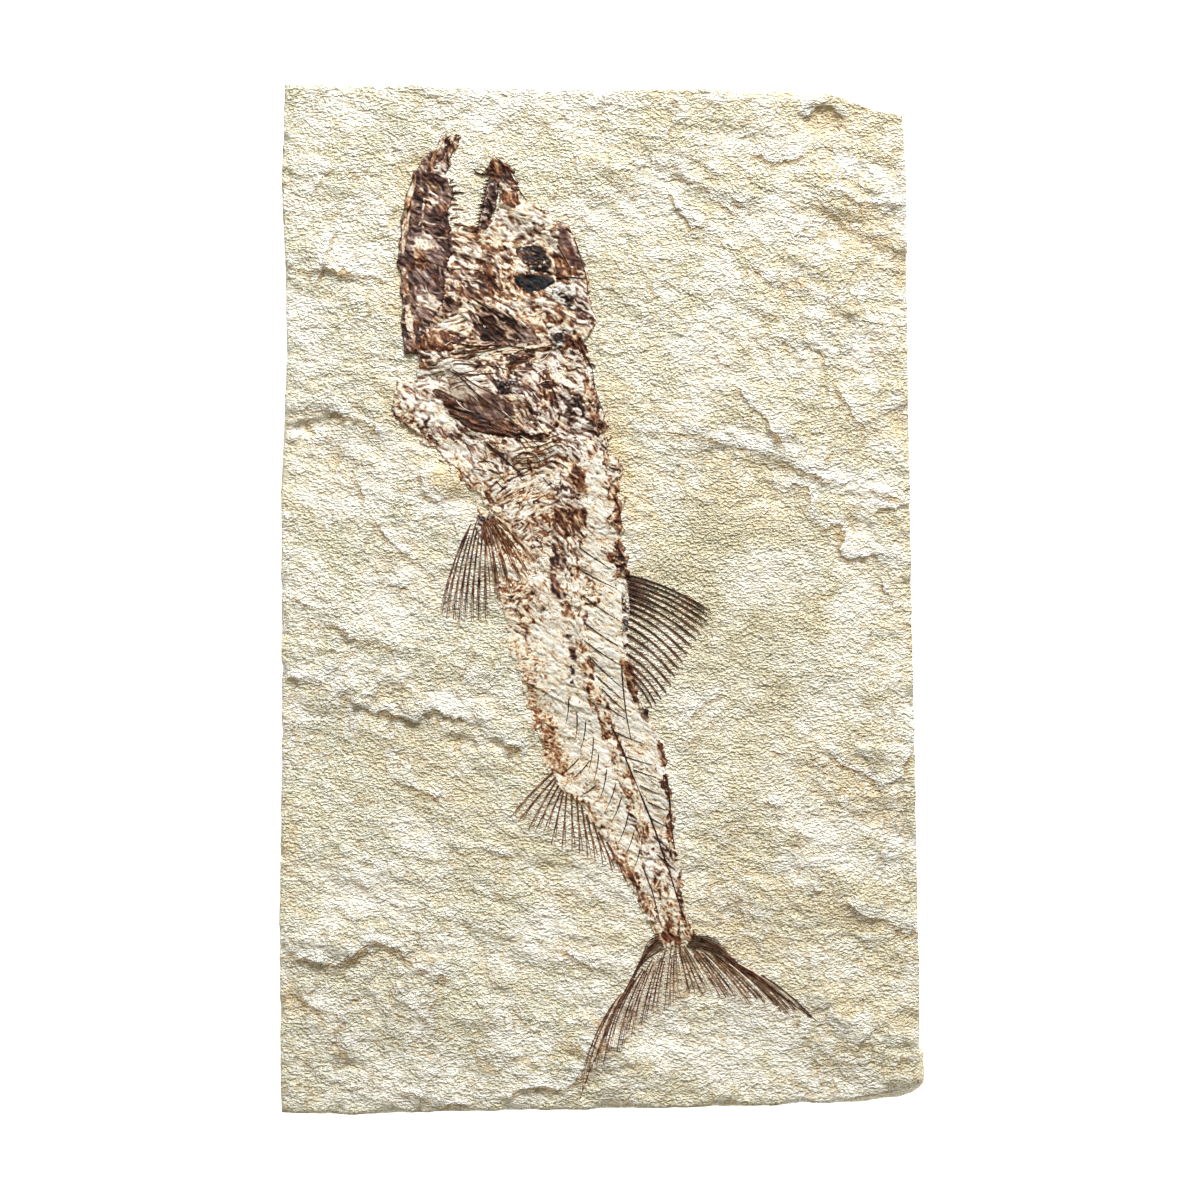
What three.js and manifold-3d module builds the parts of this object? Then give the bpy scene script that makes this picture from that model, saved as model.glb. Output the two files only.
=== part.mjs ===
// A fossil fish on a split plate of pale limestone, lying flat with the fish face up.
// Millimetres, +Z up. The origin is the middle of the plate's underside, +Y runs
// from the tail towards the head and +X towards the fish's back.

import * as THREE from 'three';
import { mergeVertices } from 'three/addons/utils/BufferGeometryUtils.js';
import Module from 'manifold-3d';

const wasm = await Module();
wasm.setup();

// Driving dimensions.
const BED_Z = 10; // the bedding surface that the fish lies on
const HALF_WIDTH = 67.3;
const HALF_LENGTH = 108.4;
const TALLEST_RIDGE = 2;
const ROOT_DEPTH = 2; // how far each stone ridge reaches down into the plate
const RIDGE_FOOT = 0.1; // how far a crest's foot stands out, as a share of the run
const END_RISE = 0.15; // a ridge's rise at its ends, as a share of the full rise
const END_RUN = 0.6; // and its run there
const SIDE_DRAFT = 0.7; // how far the sides lean in between the foot and the bed
const JAW_THICK = 1.2;
const SKULL_THICK = 1.4;
const EYE_THICK = 1.7;
const GILL_THICK = 1.1;
const SHOULDER_THICK = 1;
const BELLY_THICK = 0.5;
const RAY_THICK = 0.45;
const TOOTH_THICK = 0.7;
const BONE_GAP = 0.3; // clear stone between one bone and the next

// The spines that stand off both sides of the backbone.
const SPINES = {
  pairs: 16,
  from: 0.12, // along the backbone, as shares of its length
  to: 0.9,
  reach: [4.4, 2.2],
  width: 0.5,
  thick: 0.5,
};

// Colours and surfaces.
const STONE = { color: 0xe3dcc5, roughness: 0.92 };
const JAW_BONE = { color: 0x5d4439, roughness: 0.6 };
const HEAD_BONE = { color: 0x8c7263, roughness: 0.65 };
const EYE_FILM = { color: 0x343330, roughness: 0.45 };
const BACK_BONE = { color: 0x7a4a30, roughness: 0.65 };
const PALE_BONE = { color: 0xd2c3a8, roughness: 0.75 };
const BELLY_BONE = { color: 0xb0824f, roughness: 0.75 };
const FIN_BONE = { color: 0x6b4433, roughness: 0.65 };

// The plate's outline, from the head's left corner round by the clipped right corner.
const PLATE_OUTLINE = [
  [-66.2, 108.3], [-42, 108.4], [-25, 107.7], [8.5, 107.3], [42, 107.3],
  [50.5, 106.5], [59, 103.3], [63.7, 102], [64.6, 84], [64.6, 59],
  [65.4, 8.6], [66.3, -41.8], [67.3, -84], [67.3, -101.5], [66.5, -103.8],
  [64.5, -104.6], [50, -105.4], [34, -106.3], [0, -106.9], [-42, -107.7],
  [-55, -108.4], [-67, -107.8], [-66.7, -100.6], [-67.3, -75.4], [-66.7, -25],
  [-67, 25.4], [-65.8, 50.6], [-66.9, 84.2],
];

// Split ridges. Each one rises slowly from its back, which lies the run away up the
// plate, to a crest and drops steeply off it.
const RIDGES = [
  { rise: 1.6, run: [3, 9], crest: [[-66, -16.5], [-54, -19.5], [-42, -24.5], [-31, -23], [-23, -29]] },
  { rise: 1.1, run: [4, 9], crest: [[-66, -2.5], [-60.5, -4], [-51, -8.3], [-41, -10]] },
  { rise: 0.8, run: [6, 4], crest: [[-55.5, 31], [-50.5, 25.5], [-46.5, 16], [-41, 9], [-38, 6.5]] },
  { rise: 1.5, run: [2, 7], crest: [[-66, 36], [-59, 34.5], [-50, 33], [-44.5, 31]] },
  { rise: 1.2, run: [3, 9], crest: [[-66, 70.5], [-58.5, 69], [-52.5, 70.5], [-45.5, 67]] },
  { rise: 1.4, run: [4, 16], crest: [[-66, -75], [-55, -77.5], [-48, -71], [-35.5, -79], [-30, -80.5]] },
  { rise: 1, run: [3, 8], crest: [[-50.5, -87.5], [-41, -85.5], [-34, -90]] },
  { rise: 1, run: [2, 7], crest: [[-42.5, -102.5], [-34, -106], [-23, -104.5], [-13, -102.5], [-8, -102]] },
  { rise: 0.8, run: [3, 6], crest: [[-13.5, -75.5], [-6, -73.5], [-1, -77.5], [5, -79]] },
  { rise: 0.9, run: [3, 6], crest: [[-46.5, -34], [-40, -39.5], [-30, -41.5]] },
  { rise: 1.2, run: [5, 7], crest: [[15, 86], [17.5, 79.5], [20.5, 77], [30, 79.5]] },
  { rise: 1, run: [4, 7], crest: [[31, 94.5], [37.5, 92], [42.5, 93], [45.5, 91.5]] },
  { rise: 1.7, run: [6, 6], crest: [[45.5, 83.5], [52.5, 85], [57, 80.5], [63.5, 78]] },
  { rise: 1, run: [8, 6], crest: [[25.5, 51], [29, 44.5], [36, 36], [40, 31]] },
  { rise: 1.6, run: [7, 8], crest: [[26, 28], [34, 27.5], [43, 23], [48.5, 15], [52.5, 8]] },
  { rise: 1.2, run: [3, 8], crest: [[49, 18.5], [57, 16.5], [65, 18]] },
  { rise: 1.4, run: [5, 8], crest: [[45.5, -30], [52.5, -35.5], [59.5, -39.5], [65, -34]] },
  { rise: 0.8, run: [5, 5], crest: [[34.5, -41], [42.5, -48.5], [48, -52]] },
  { rise: 1.5, run: [4, 10], crest: [[42.5, -59], [50, -62], [54, -65.5], [66, -70.5]] },
  { rise: 1.3, run: [4, 8], crest: [[45.5, -88.5], [52.5, -93], [59.5, -93.5]] },
];

// Shallow hollows where flakes have come away.
const HOLLOWS = [
  { depth: 0.9, rim: [[42.5, 101.5], [47.5, 105], [53, 101], [48, 99.5]] },
  { depth: 1.2, rim: [[-65, 37], [-59, 36], [-58.5, 33.5], [-65, 33]] },
  { depth: 1, rim: [[-65, -80], [-60, -83.5], [-61, -87.5], [-65, -86]] },
  { depth: 0.9, rim: [[32, 70.5], [35, 69], [36, 66.5], [33.5, 67.5]] },
  { depth: 0.8, rim: [[-32, -28.5], [-26, -28], [-26.5, -30], [-31.5, -30]] },
];

const LOWER_JAW = [
  [-29.7, 97.9], [-29.3, 97.2], [-29.9, 95.1], [-32.2, 91.4], [-32.2, 88.8],
  [-31.2, 84.2], [-31.6, 79.2], [-31, 73.7], [-33.3, 68.9], [-32.7, 65.1],
  [-35.6, 59], [-38.1, 53.8], [-38.7, 51.2], [-40.6, 51.9], [-41.7, 65.7],
  [-41.9, 74.3], [-40.8, 81.7], [-39, 89.5], [-37.5, 92.4], [-35.2, 93.2],
  [-32.2, 97.4],
];

const UPPER_JAW = [
  [-21.9, 93.2], [-21.1, 92.6], [-19.4, 91.1], [-18.2, 88.4], [-17.3, 86.9],
  [-16.6, 84.5], [-19.8, 83.6], [-21.9, 80.4], [-23.4, 77.9], [-25.5, 78.3],
  [-25.1, 81.3], [-24.3, 84.2], [-23, 88], [-23.8, 90.9],
];

const SKULL = [
  [-16.4, 84], [-14, 83.4], [-11.4, 81.1], [-9.1, 79.2], [-6.8, 78.5],
  [-5.4, 75.6], [-4.1, 71.4], [-2.4, 65.7], [-1.4, 59.6], [-1.4, 56.7],
  [-3.3, 55.4], [-8.3, 53.8], [-15.2, 52.9], [-23, 52.3], [-30.3, 52.7],
  [-37.3, 53.4], [-34.9, 58.8], [-32, 65.1], [-32.6, 68.9], [-30.4, 73.7],
  [-30.9, 77.5], [-23, 77.2], [-21.4, 79.9], [-19.4, 83.1],
];

const GILL_COVER = [
  [-37.9, 52.6], [-30.3, 52.2], [-23, 51.8], [-15.2, 52.4], [-8.3, 53.3],
  [-4.6, 54.4], [-3.4, 48.5], [-3.4, 42.2], [-2.2, 37.2], [-16, 36.5],
  [-28, 36], [-38, 34.4], [-40.2, 37], [-42.5, 39.5], [-44, 42.2],
  [-41.9, 45.2], [-39.2, 46.4],
];

const SHOULDER = [
  [-37.6, 33.9], [-28, 35.5], [-16, 36], [-2, 36.6], [-0.4, 31.7],
  [0.7, 25.4], [1.3, 20.8], [-5.1, 18.7], [-11.4, 17.6], [-18.8, 18.7],
  [-23, 19.5], [-24.5, 21.6], [-29.3, 26.3], [-34.5, 29.8],
];

const EYE = { at: [-13.8, 69.5], radii: [3.9, 4.4], sides: 16 };

const BELLY = [
  [-14.6, -5], [-12.3, -10.2], [-11.4, -20.8], [-9.3, -27.1], [-6.8, -33.4],
  [-5.8, -35.2], [-9.4, -35.6], [-11.4, -33.4], [-14.2, -25], [-16.3, -16.6],
  [-18.2, -10.3], [-19, -5],
];

// Teeth and fang: root, point and width at the root.
const LOWER_TEETH = [
  [[-31.4, 85.4], [-28.6, 85.4], 0.8],
  [[-31.4, 83.2], [-30, 83.2], 0.7],
  [[-31.4, 81.6], [-29.2, 81.6], 0.6],
  [[-31.6, 78.8], [-29.4, 78.2], 0.7],
];
const UPPER_TEETH = [
  [[-22.6, 89.4], [-26.2, 89.6], 1],
  [[-23.6, 86], [-25, 85.8], 0.6],
  [[-24.2, 84], [-25.7, 83.7], 0.6],
  [[-24.8, 82], [-26.2, 81.6], 0.6],
];

// The long bone rows, each along its middle line from the head to the tail.
const BACK_SCUTES = {
  bones: 30,
  halfWidths: [1, 1],
  pinch: 0.72,
  thick: 0.8,
  line: [
    [-2.1, 53.2], [-1.7, 48.5], [-1.7, 42.2], [-0.2, 36], [1.4, 31.7],
    [2.7, 25.4], [3.7, 18], [4.3, 11.8], [4.7, 5.5], [4.7, -6],
    [5.1, -13.7], [7, -19.7], [9.6, -25], [12.1, -30.2], [14, -36.8],
    [15, -46], [16.1, -54], [17.4, -62.8], [19, -69.8],
  ],
};
const BACKBONE = {
  bones: 40,
  halfWidths: [1.15, 0.6],
  pinch: 0.6,
  thick: 0.8,
  line: [
    [-7, 15.6], [-6.2, 10], [-4.7, 2.3], [-3.5, -8.2], [-1.6, -17.6],
    [1.2, -25], [3.9, -32.3], [6.4, -39.7], [8.5, -47], [10.6, -54.4],
    [13.1, -61.1], [15.4, -66.6], [16.8, -69.8],
  ],
};
const LOWER_SCUTES = {
  bones: 6,
  halfWidths: [0.8, 0.8],
  pinch: 0.72,
  thick: 0.8,
  line: [[3.4, -52.4], [4.4, -55.4], [6.6, -58.8], [8.8, -62.6], [10.4, -65.8], [11.6, -69.4]],
};

// Fins: where the rays begin and end along two lines, and how many there are.
const PECTORAL_FIN = {
  rays: 11,
  width: 0.9,
  roots: [[-26, 17.4], [-24.2, 17.6], [-22.4, 17.4]],
  tips: [[-32.9, -3.2], [-28.9, -3.8], [-23.4, -3.2], [-18.2, 0.2], [-13.8, 8.6]],
};
const DORSAL_FIN = {
  rays: 15,
  width: 0.75,
  roots: [[6.2, 5.2], [6.4, -4], [6.8, -12], [8.6, -17.2]],
  tips: [[23.6, -2.8], [20.6, -7.8], [16.6, -15.4], [11, -22.6]],
};
const ANAL_FIN = {
  rays: 14,
  width: 0.7,
  roots: [[-9.8, -36.6], [-8, -39.6], [-5.2, -41.4], [-2.4, -46.6], [0.6, -51.6]],
  tips: [[-18.8, -45.6], [-13.2, -48], [-7, -51.8], [-1.2, -53.6], [2.2, -58]],
};
const TAIL_FIN = {
  rays: 26,
  width: 0.9,
  roots: [[12.2, -71.2], [14.6, -72.6], [17, -72.4], [20, -70.8]],
  tips: [
    [-4.3, -104.6], [-1.2, -102], [4.7, -95], [11.8, -88.6], [17, -84],
    [21, -84.6], [29.5, -86], [38, -88.4], [46.4, -89.4],
  ],
};

// --- Solids -----------------------------------------------------------------------

function toSolid(geometry) {
  const bare = geometry.clone();
  bare.deleteAttribute('normal');
  bare.deleteAttribute('uv');
  const merged = mergeVertices(bare, 1e-4);
  return new wasm.Manifold(new wasm.Mesh({
    numProp: 3,
    vertProperties: new Float32Array(merged.attributes.position.array),
    triVerts: new Uint32Array(merged.index.array),
  }));
}

function toGeometry(solid) {
  const mesh = solid.getMesh();
  const indexed = new THREE.BufferGeometry();
  indexed.setAttribute('position', new THREE.BufferAttribute(mesh.vertProperties, 3));
  indexed.setIndex(new THREE.BufferAttribute(mesh.triVerts, 1));
  const geometry = indexed.toNonIndexed();
  geometry.computeVertexNormals();
  return geometry;
}

function joined(solids) {
  return solids.reduce((whole, piece) => whole.add(piece));
}

// A closed skin over rings of corners that run the same way round.
function skin(rings) {
  const corners = rings[0].length;
  const last = rings.length - 1;
  const index = [];
  for (let ring = 0; ring < last; ring += 1) {
    for (let corner = 0; corner < corners; corner += 1) {
      const next = (corner + 1) % corners;
      const here = ring * corners;
      const beyond = here + corners;
      index.push(here + corner, here + next, beyond + next);
      index.push(here + corner, beyond + next, beyond + corner);
    }
  }
  for (let corner = 1; corner < corners - 1; corner += 1) {
    index.push(0, corner + 1, corner);
    index.push(last * corners, last * corners + corner, last * corners + corner + 1);
  }
  const geometry = new THREE.BufferGeometry();
  geometry.setAttribute('position', new THREE.Float32BufferAttribute(rings.flat(2), 3));
  geometry.setIndex(index);
  return geometry;
}

function plate(outline, bottom, thick, holes = []) {
  const shape = new THREE.Shape(outline.map(([x, y]) => new THREE.Vector2(x, y)));
  for (const hole of holes) {
    shape.holes.push(new THREE.Path(hole.map(([x, y]) => new THREE.Vector2(x, y))));
  }
  const geometry = new THREE.ExtrudeGeometry(shape, { depth: thick, bevelEnabled: false });
  return geometry.translate(0, 0, bottom);
}

function ellipse({ at, radii, sides }, grow = 0) {
  return Array.from({ length: sides }, (_, side) => {
    const angle = (side / sides) * 2 * Math.PI;
    return [
      at[0] + (radii[0] + grow) * Math.cos(angle),
      at[1] + (radii[1] + grow) * Math.sin(angle),
    ];
  });
}

function curveThrough(points) {
  return new THREE.CatmullRomCurve3(points.map(([x, y]) => new THREE.Vector3(x, y, 0)));
}

// --- Stone ------------------------------------------------------------------------

function ridge({ rise, run, crest }) {
  const last = crest.length - 1;
  const rings = crest.map(([x, y], place) => {
    const atEnd = place === 0 || place === last;
    const height = atEnd ? rise * END_RISE : rise;
    const reach = atEnd ? END_RUN : 1;
    const backX = x + run[0] * reach;
    const backY = y + run[1] * reach;
    return [
      [x - RIDGE_FOOT * run[0], y - RIDGE_FOOT * run[1], BED_Z - ROOT_DEPTH],
      [backX, backY, BED_Z - ROOT_DEPTH],
      [backX, backY, BED_Z - 0.2],
      [x, y, BED_Z + height],
    ];
  });
  return toSolid(skin(rings));
}

function hollow({ depth, rim }) {
  const middle = rim.reduce(([x, y], point) => [
    x + point[0] / rim.length,
    y + point[1] / rim.length,
  ], [0, 0]);
  const ringAt = (share, z) => rim.map(([x, y]) => [
    middle[0] + (x - middle[0]) * share,
    middle[1] + (y - middle[1]) * share,
    z,
  ]);
  return toSolid(skin([ringAt(1.3, BED_Z + 3), ringAt(1, BED_Z), ringAt(0.55, BED_Z - depth)]));
}

// The plate's outline raised to a height, with its sides leaning in.
function leaningPlate(height) {
  const geometry = plate(PLATE_OUTLINE, 0, height);
  const position = geometry.attributes.position;
  const lean = (SIDE_DRAFT * height) / BED_Z;
  for (let corner = 0; corner < position.count; corner += 1) {
    if (position.getZ(corner) > 0) {
      position.setX(corner, position.getX(corner) * (1 - lean / HALF_WIDTH));
      position.setY(corner, position.getY(corner) * (1 - lean / HALF_LENGTH));
    }
  }
  return toSolid(geometry);
}

function limestone() {
  const body = leaningPlate(BED_Z);
  const ridges = joined(RIDGES.map(ridge)).intersect(leaningPlate(BED_Z + TALLEST_RIDGE));
  const hollows = joined(HOLLOWS.map(hollow));
  return body.add(ridges).subtract(hollows);
}

// --- Bones ------------------------------------------------------------------------

// A thin pointed bar lying on the bed, with a low roof along it.
function bar([rootX, rootY], [tipX, tipY], width, thick) {
  const along = new THREE.Vector2(tipX - rootX, tipY - rootY);
  const across = new THREE.Vector2(-along.y, along.x).normalize();
  const ringAt = (share, scale) => {
    const x = rootX + along.x * share;
    const y = rootY + along.y * share;
    const half = (width * scale) / 2;
    return [
      [x - across.x * half, y - across.y * half, BED_Z],
      [x + across.x * half, y + across.y * half, BED_Z],
      [x, y, BED_Z + thick * scale],
    ];
  };
  return toSolid(skin([ringAt(0, 1), ringAt(1, 0.3)]));
}

// A band along a line, as wide as the two half widths at its ends, with an edge that
// swells and pinches once for every bone in the row.
function boneRow({ line, halfWidths, bones, pinch, thick }) {
  const curve = curveThrough(line);
  const left = [];
  const right = [];
  for (let step = 0; step <= bones * 2; step += 1) {
    const share = step / (bones * 2);
    const point = curve.getPointAt(share);
    const tangent = curve.getTangentAt(share);
    const fullHalf = THREE.MathUtils.lerp(halfWidths[0], halfWidths[1], share);
    const half = fullHalf * (step % 2 ? 1 : pinch);
    left.push([point.x - tangent.y * half, point.y + tangent.x * half]);
    right.unshift([point.x + tangent.y * half, point.y - tangent.x * half]);
  }
  return toSolid(plate([...left, ...right], BED_Z, thick));
}

function jaw(outline, teeth) {
  const blade = toSolid(plate(outline, BED_Z, JAW_THICK));
  const points = teeth.map(([root, tip, width]) => bar(root, tip, width, TOOTH_THICK));
  return joined([blade, ...points]);
}

function backbone() {
  const curve = curveThrough(BACKBONE.line);
  const pieces = [boneRow(BACKBONE)];
  for (let pair = 0; pair < SPINES.pairs; pair += 1) {
    const share = THREE.MathUtils.lerp(SPINES.from, SPINES.to, pair / (SPINES.pairs - 1));
    const { x, y } = curve.getPointAt(share);
    const reach = THREE.MathUtils.lerp(SPINES.reach[0], SPINES.reach[1], share);
    const backTip = [x + reach * 0.72, y - reach * 0.7];
    const bellyTip = [x - reach * 0.3, y - reach * 1.1];
    pieces.push(bar([x, y], backTip, SPINES.width, SPINES.thick));
    pieces.push(bar([x, y], bellyTip, SPINES.width, SPINES.thick));
  }
  return joined(pieces);
}

// A fan of rays on a thin strip that ties their roots together.
function fin({ rays, width, roots, tips }) {
  const rootLine = curveThrough(roots);
  const tipLine = curveThrough(tips);
  const pieces = [];
  let previous = null;
  for (let ray = 0; ray < rays; ray += 1) {
    const share = ray / (rays - 1);
    const root = rootLine.getPointAt(share);
    const tip = tipLine.getPointAt(share);
    pieces.push(bar([root.x, root.y], [tip.x, tip.y], width, RAY_THICK));
    if (previous) {
      pieces.push(bar([previous.x, previous.y], [root.x, root.y], width, RAY_THICK));
    }
    previous = root;
  }
  return joined(pieces);
}

// --- The slab -----------------------------------------------------------------------

const slab = new THREE.Group();

function addPiece(name, solid, look) {
  const material = new THREE.MeshStandardMaterial({ ...look, metalness: 0 });
  const mesh = new THREE.Mesh(toGeometry(solid), material);
  mesh.name = name;
  slab.add(mesh);
}

addPiece('limestone', limestone(), STONE);
addPiece('lower_jaw', jaw(LOWER_JAW, LOWER_TEETH), JAW_BONE);
addPiece('upper_jaw', jaw(UPPER_JAW, UPPER_TEETH), JAW_BONE);
addPiece('skull', toSolid(plate(SKULL, BED_Z, SKULL_THICK, [ellipse(EYE, BONE_GAP)])), HEAD_BONE);
addPiece('eye', toSolid(plate(ellipse(EYE), BED_Z, EYE_THICK)), EYE_FILM);
addPiece('gill_cover', toSolid(plate(GILL_COVER, BED_Z, GILL_THICK)), HEAD_BONE);
addPiece('shoulder_girdle', toSolid(plate(SHOULDER, BED_Z, SHOULDER_THICK)), HEAD_BONE);
addPiece('backbone', backbone(), PALE_BONE);
addPiece('back_scutes', boneRow(BACK_SCUTES), BACK_BONE);
addPiece('belly_band', toSolid(plate(BELLY, BED_Z, BELLY_THICK)), BELLY_BONE);
addPiece('lower_scutes', boneRow(LOWER_SCUTES), BELLY_BONE);
addPiece('pectoral_fin', fin(PECTORAL_FIN), FIN_BONE);
addPiece('dorsal_fin', fin(DORSAL_FIN), FIN_BONE);
addPiece('anal_fin', fin(ANAL_FIN), FIN_BONE);
addPiece('tail_fin', fin(TAIL_FIN), FIN_BONE);

export default slab;
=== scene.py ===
import math

import bpy
import numpy as np
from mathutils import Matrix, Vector
from mathutils.geometry import delaunay_2d_cdt


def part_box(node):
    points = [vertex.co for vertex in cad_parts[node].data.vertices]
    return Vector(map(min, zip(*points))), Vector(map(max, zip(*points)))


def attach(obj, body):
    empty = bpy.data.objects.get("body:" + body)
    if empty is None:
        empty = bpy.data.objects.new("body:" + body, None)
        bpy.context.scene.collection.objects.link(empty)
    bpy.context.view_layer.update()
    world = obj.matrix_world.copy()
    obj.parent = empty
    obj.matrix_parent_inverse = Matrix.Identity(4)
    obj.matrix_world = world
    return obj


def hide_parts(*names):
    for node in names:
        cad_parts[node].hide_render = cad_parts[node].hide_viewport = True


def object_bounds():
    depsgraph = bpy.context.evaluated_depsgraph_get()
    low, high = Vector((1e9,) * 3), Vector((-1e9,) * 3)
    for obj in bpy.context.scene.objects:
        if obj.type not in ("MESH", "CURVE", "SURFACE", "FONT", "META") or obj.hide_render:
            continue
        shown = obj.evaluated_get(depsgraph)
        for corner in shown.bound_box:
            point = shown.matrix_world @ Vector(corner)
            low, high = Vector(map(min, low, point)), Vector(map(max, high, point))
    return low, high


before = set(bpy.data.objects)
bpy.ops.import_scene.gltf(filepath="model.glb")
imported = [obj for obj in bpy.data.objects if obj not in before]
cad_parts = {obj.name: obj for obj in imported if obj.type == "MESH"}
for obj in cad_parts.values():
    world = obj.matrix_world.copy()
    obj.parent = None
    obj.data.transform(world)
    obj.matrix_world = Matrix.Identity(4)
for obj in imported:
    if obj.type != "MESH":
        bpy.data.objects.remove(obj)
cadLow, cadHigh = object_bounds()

# Shapes are worked out in millimetres in the frame's own axes and become metres when
# their meshes are made: +X towards the fish's back, +Y towards its head, +Z off the face.
mm = 0.001
scene = bpy.context.scene


def nodeBox(name):
    low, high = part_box(name)
    return np.array(low) / mm, np.array(high) / mm


stoneLow, stoneHigh = nodeBox("limestone")
bedTop = nodeBox("skull")[0][2]  # the bones lie on the bed, so their underside is its height


# Camera, lights and floor -----------------------------------------------------------

studio = {
    "lens": 85.0,
    "sensor": 36.0,
    "frameWidth": 252.0,      # mm of slab face across the picture
    "keyPower": 21.0,
    "keyPlace": (0.20, 0.95, 0.62),
    "keySize": 0.35,
    "keyColor": (0.99, 1.0, 0.995),
    "fillPower": 1.7,
    "fillPlace": (-0.75, -0.5, 0.9),
    "fillSize": 1.2,
    "fillColor": (1.0, 0.91, 0.7),
    "skyStrength": 0.25,
    "skyColor": (1.0, 0.93, 0.72),
    "floorColor": (0.93, 0.93, 0.925),
}


def aimAt(thing, target):
    direction = Vector(target) - thing.location
    thing.rotation_euler = direction.to_track_quat("-Z", "Y").to_euler()


def areaLight(name, place, power, size, color):
    light = bpy.data.lights.new(name, "AREA")
    light.energy = power
    light.size = size
    light.color = color
    lamp = bpy.data.objects.new(name, light)
    lamp.location = place
    scene.collection.objects.link(lamp)
    aimAt(lamp, (0.0, 0.0, bedTop * mm))
    return lamp


def makeStudio():
    camera = bpy.data.cameras.new("camera")
    camera.lens = studio["lens"]
    camera.sensor_width = studio["sensor"]
    camera.clip_start = 0.01
    camera.clip_end = 20.0
    viewer = bpy.data.objects.new("camera", camera)
    distance = studio["frameWidth"] / studio["sensor"] * studio["lens"]
    viewer.location = (0.0, 0.0, (bedTop + distance) * mm)
    viewer.rotation_euler = (0.0, 0.0, 0.0)
    scene.collection.objects.link(viewer)
    scene.camera = viewer

    areaLight("key", studio["keyPlace"], studio["keyPower"], studio["keySize"], studio["keyColor"])
    areaLight("fill", studio["fillPlace"], studio["fillPower"], studio["fillSize"], studio["fillColor"])

    world = bpy.data.worlds.new("studio")
    scene.world = world
    world.use_nodes = True
    sky = world.node_tree.nodes["Background"]
    sky.inputs["Color"].default_value = (*studio["skyColor"], 1.0)
    sky.inputs["Strength"].default_value = studio["skyStrength"]

    bpy.ops.mesh.primitive_plane_add(size=4.0, location=(0.0, 0.0, cadLow.z - 0.0002))
    floor = bpy.context.object
    floor.name = "floor"
    paper = bpy.data.materials.new("floorPaper")
    paper.use_nodes = True
    shader = paper.node_tree.nodes["Principled BSDF"]
    shader.inputs["Base Color"].default_value = (*studio["floorColor"], 1.0)
    shader.inputs["Roughness"].default_value = 0.9
    shader.inputs["Emission Color"].default_value = (1.0, 1.0, 1.0, 1.0)
    shader.inputs["Emission Strength"].default_value = 1.0
    floor.data.materials.append(paper)
    scene.view_settings.view_transform = "Standard"


makeStudio()
print("studio ready")


# Noise over flat coordinates ----------------------------------------------------------

def ease(t):
    t = np.clip(t, 0.0, 1.0)
    return t * t * (3.0 - 2.0 * t)


def softNoise(x, y, cell, seed):
    table = np.random.default_rng(seed).random((256, 256)) * 2.0 - 1.0
    turn = 0.6 + seed * 0.37
    u = (x * math.cos(turn) - y * math.sin(turn)) / cell + 61.0
    v = (x * math.sin(turn) + y * math.cos(turn)) / cell + 87.0
    column = np.floor(u).astype(int)
    row = np.floor(v).astype(int)
    fu = ease(u - column)
    fv = ease(v - row)
    near = table[column & 255, row & 255] * (1 - fu) + table[(column + 1) & 255, row & 255] * fu
    far = table[column & 255, (row + 1) & 255] * (1 - fu) + table[(column + 1) & 255, (row + 1) & 255] * fu
    return near * (1 - fv) + far * fv


def roughNoise(x, y, cell, seed, octaves=4, gain=0.5):
    total = 0.0
    size = 1.0
    for octave in range(octaves):
        total = total + size * softNoise(x, y, cell / 2.0 ** octave, seed + octave * 11)
        size *= gain
    return total


def alongStrike(x, y, angle, stretch):
    # the same point in axes turned by angle, squeezed along the first so noise runs along it
    c, s = math.cos(angle), math.sin(angle)
    return (x * c + y * s) / stretch, -x * s + y * c


# The limestone's surface ----------------------------------------------------------------

stone = {
    "gridStep": 0.63,
    "broadSwell": 0.27,        # mm, over the whole face
    "broadCell": 28.0,
    "strike": math.radians(-24.0),   # the split's own grain runs down to the right
    "terracePitch": 11.0,
    "terraceRise": 0.3,
    "tearCell": 5.2,
    "tearRise": 0.24,
    "grainCell": 1.5,
    "grainRise": 0.02,
    "ledgeRise": 0.38,
    "levelRise": 0.3,
    "chipCell": 3.4,
    "chipRise": 0.34,
    "sideRows": 13,
    "sideRough": 0.35,
    "footInset": 0.6,
}

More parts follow.
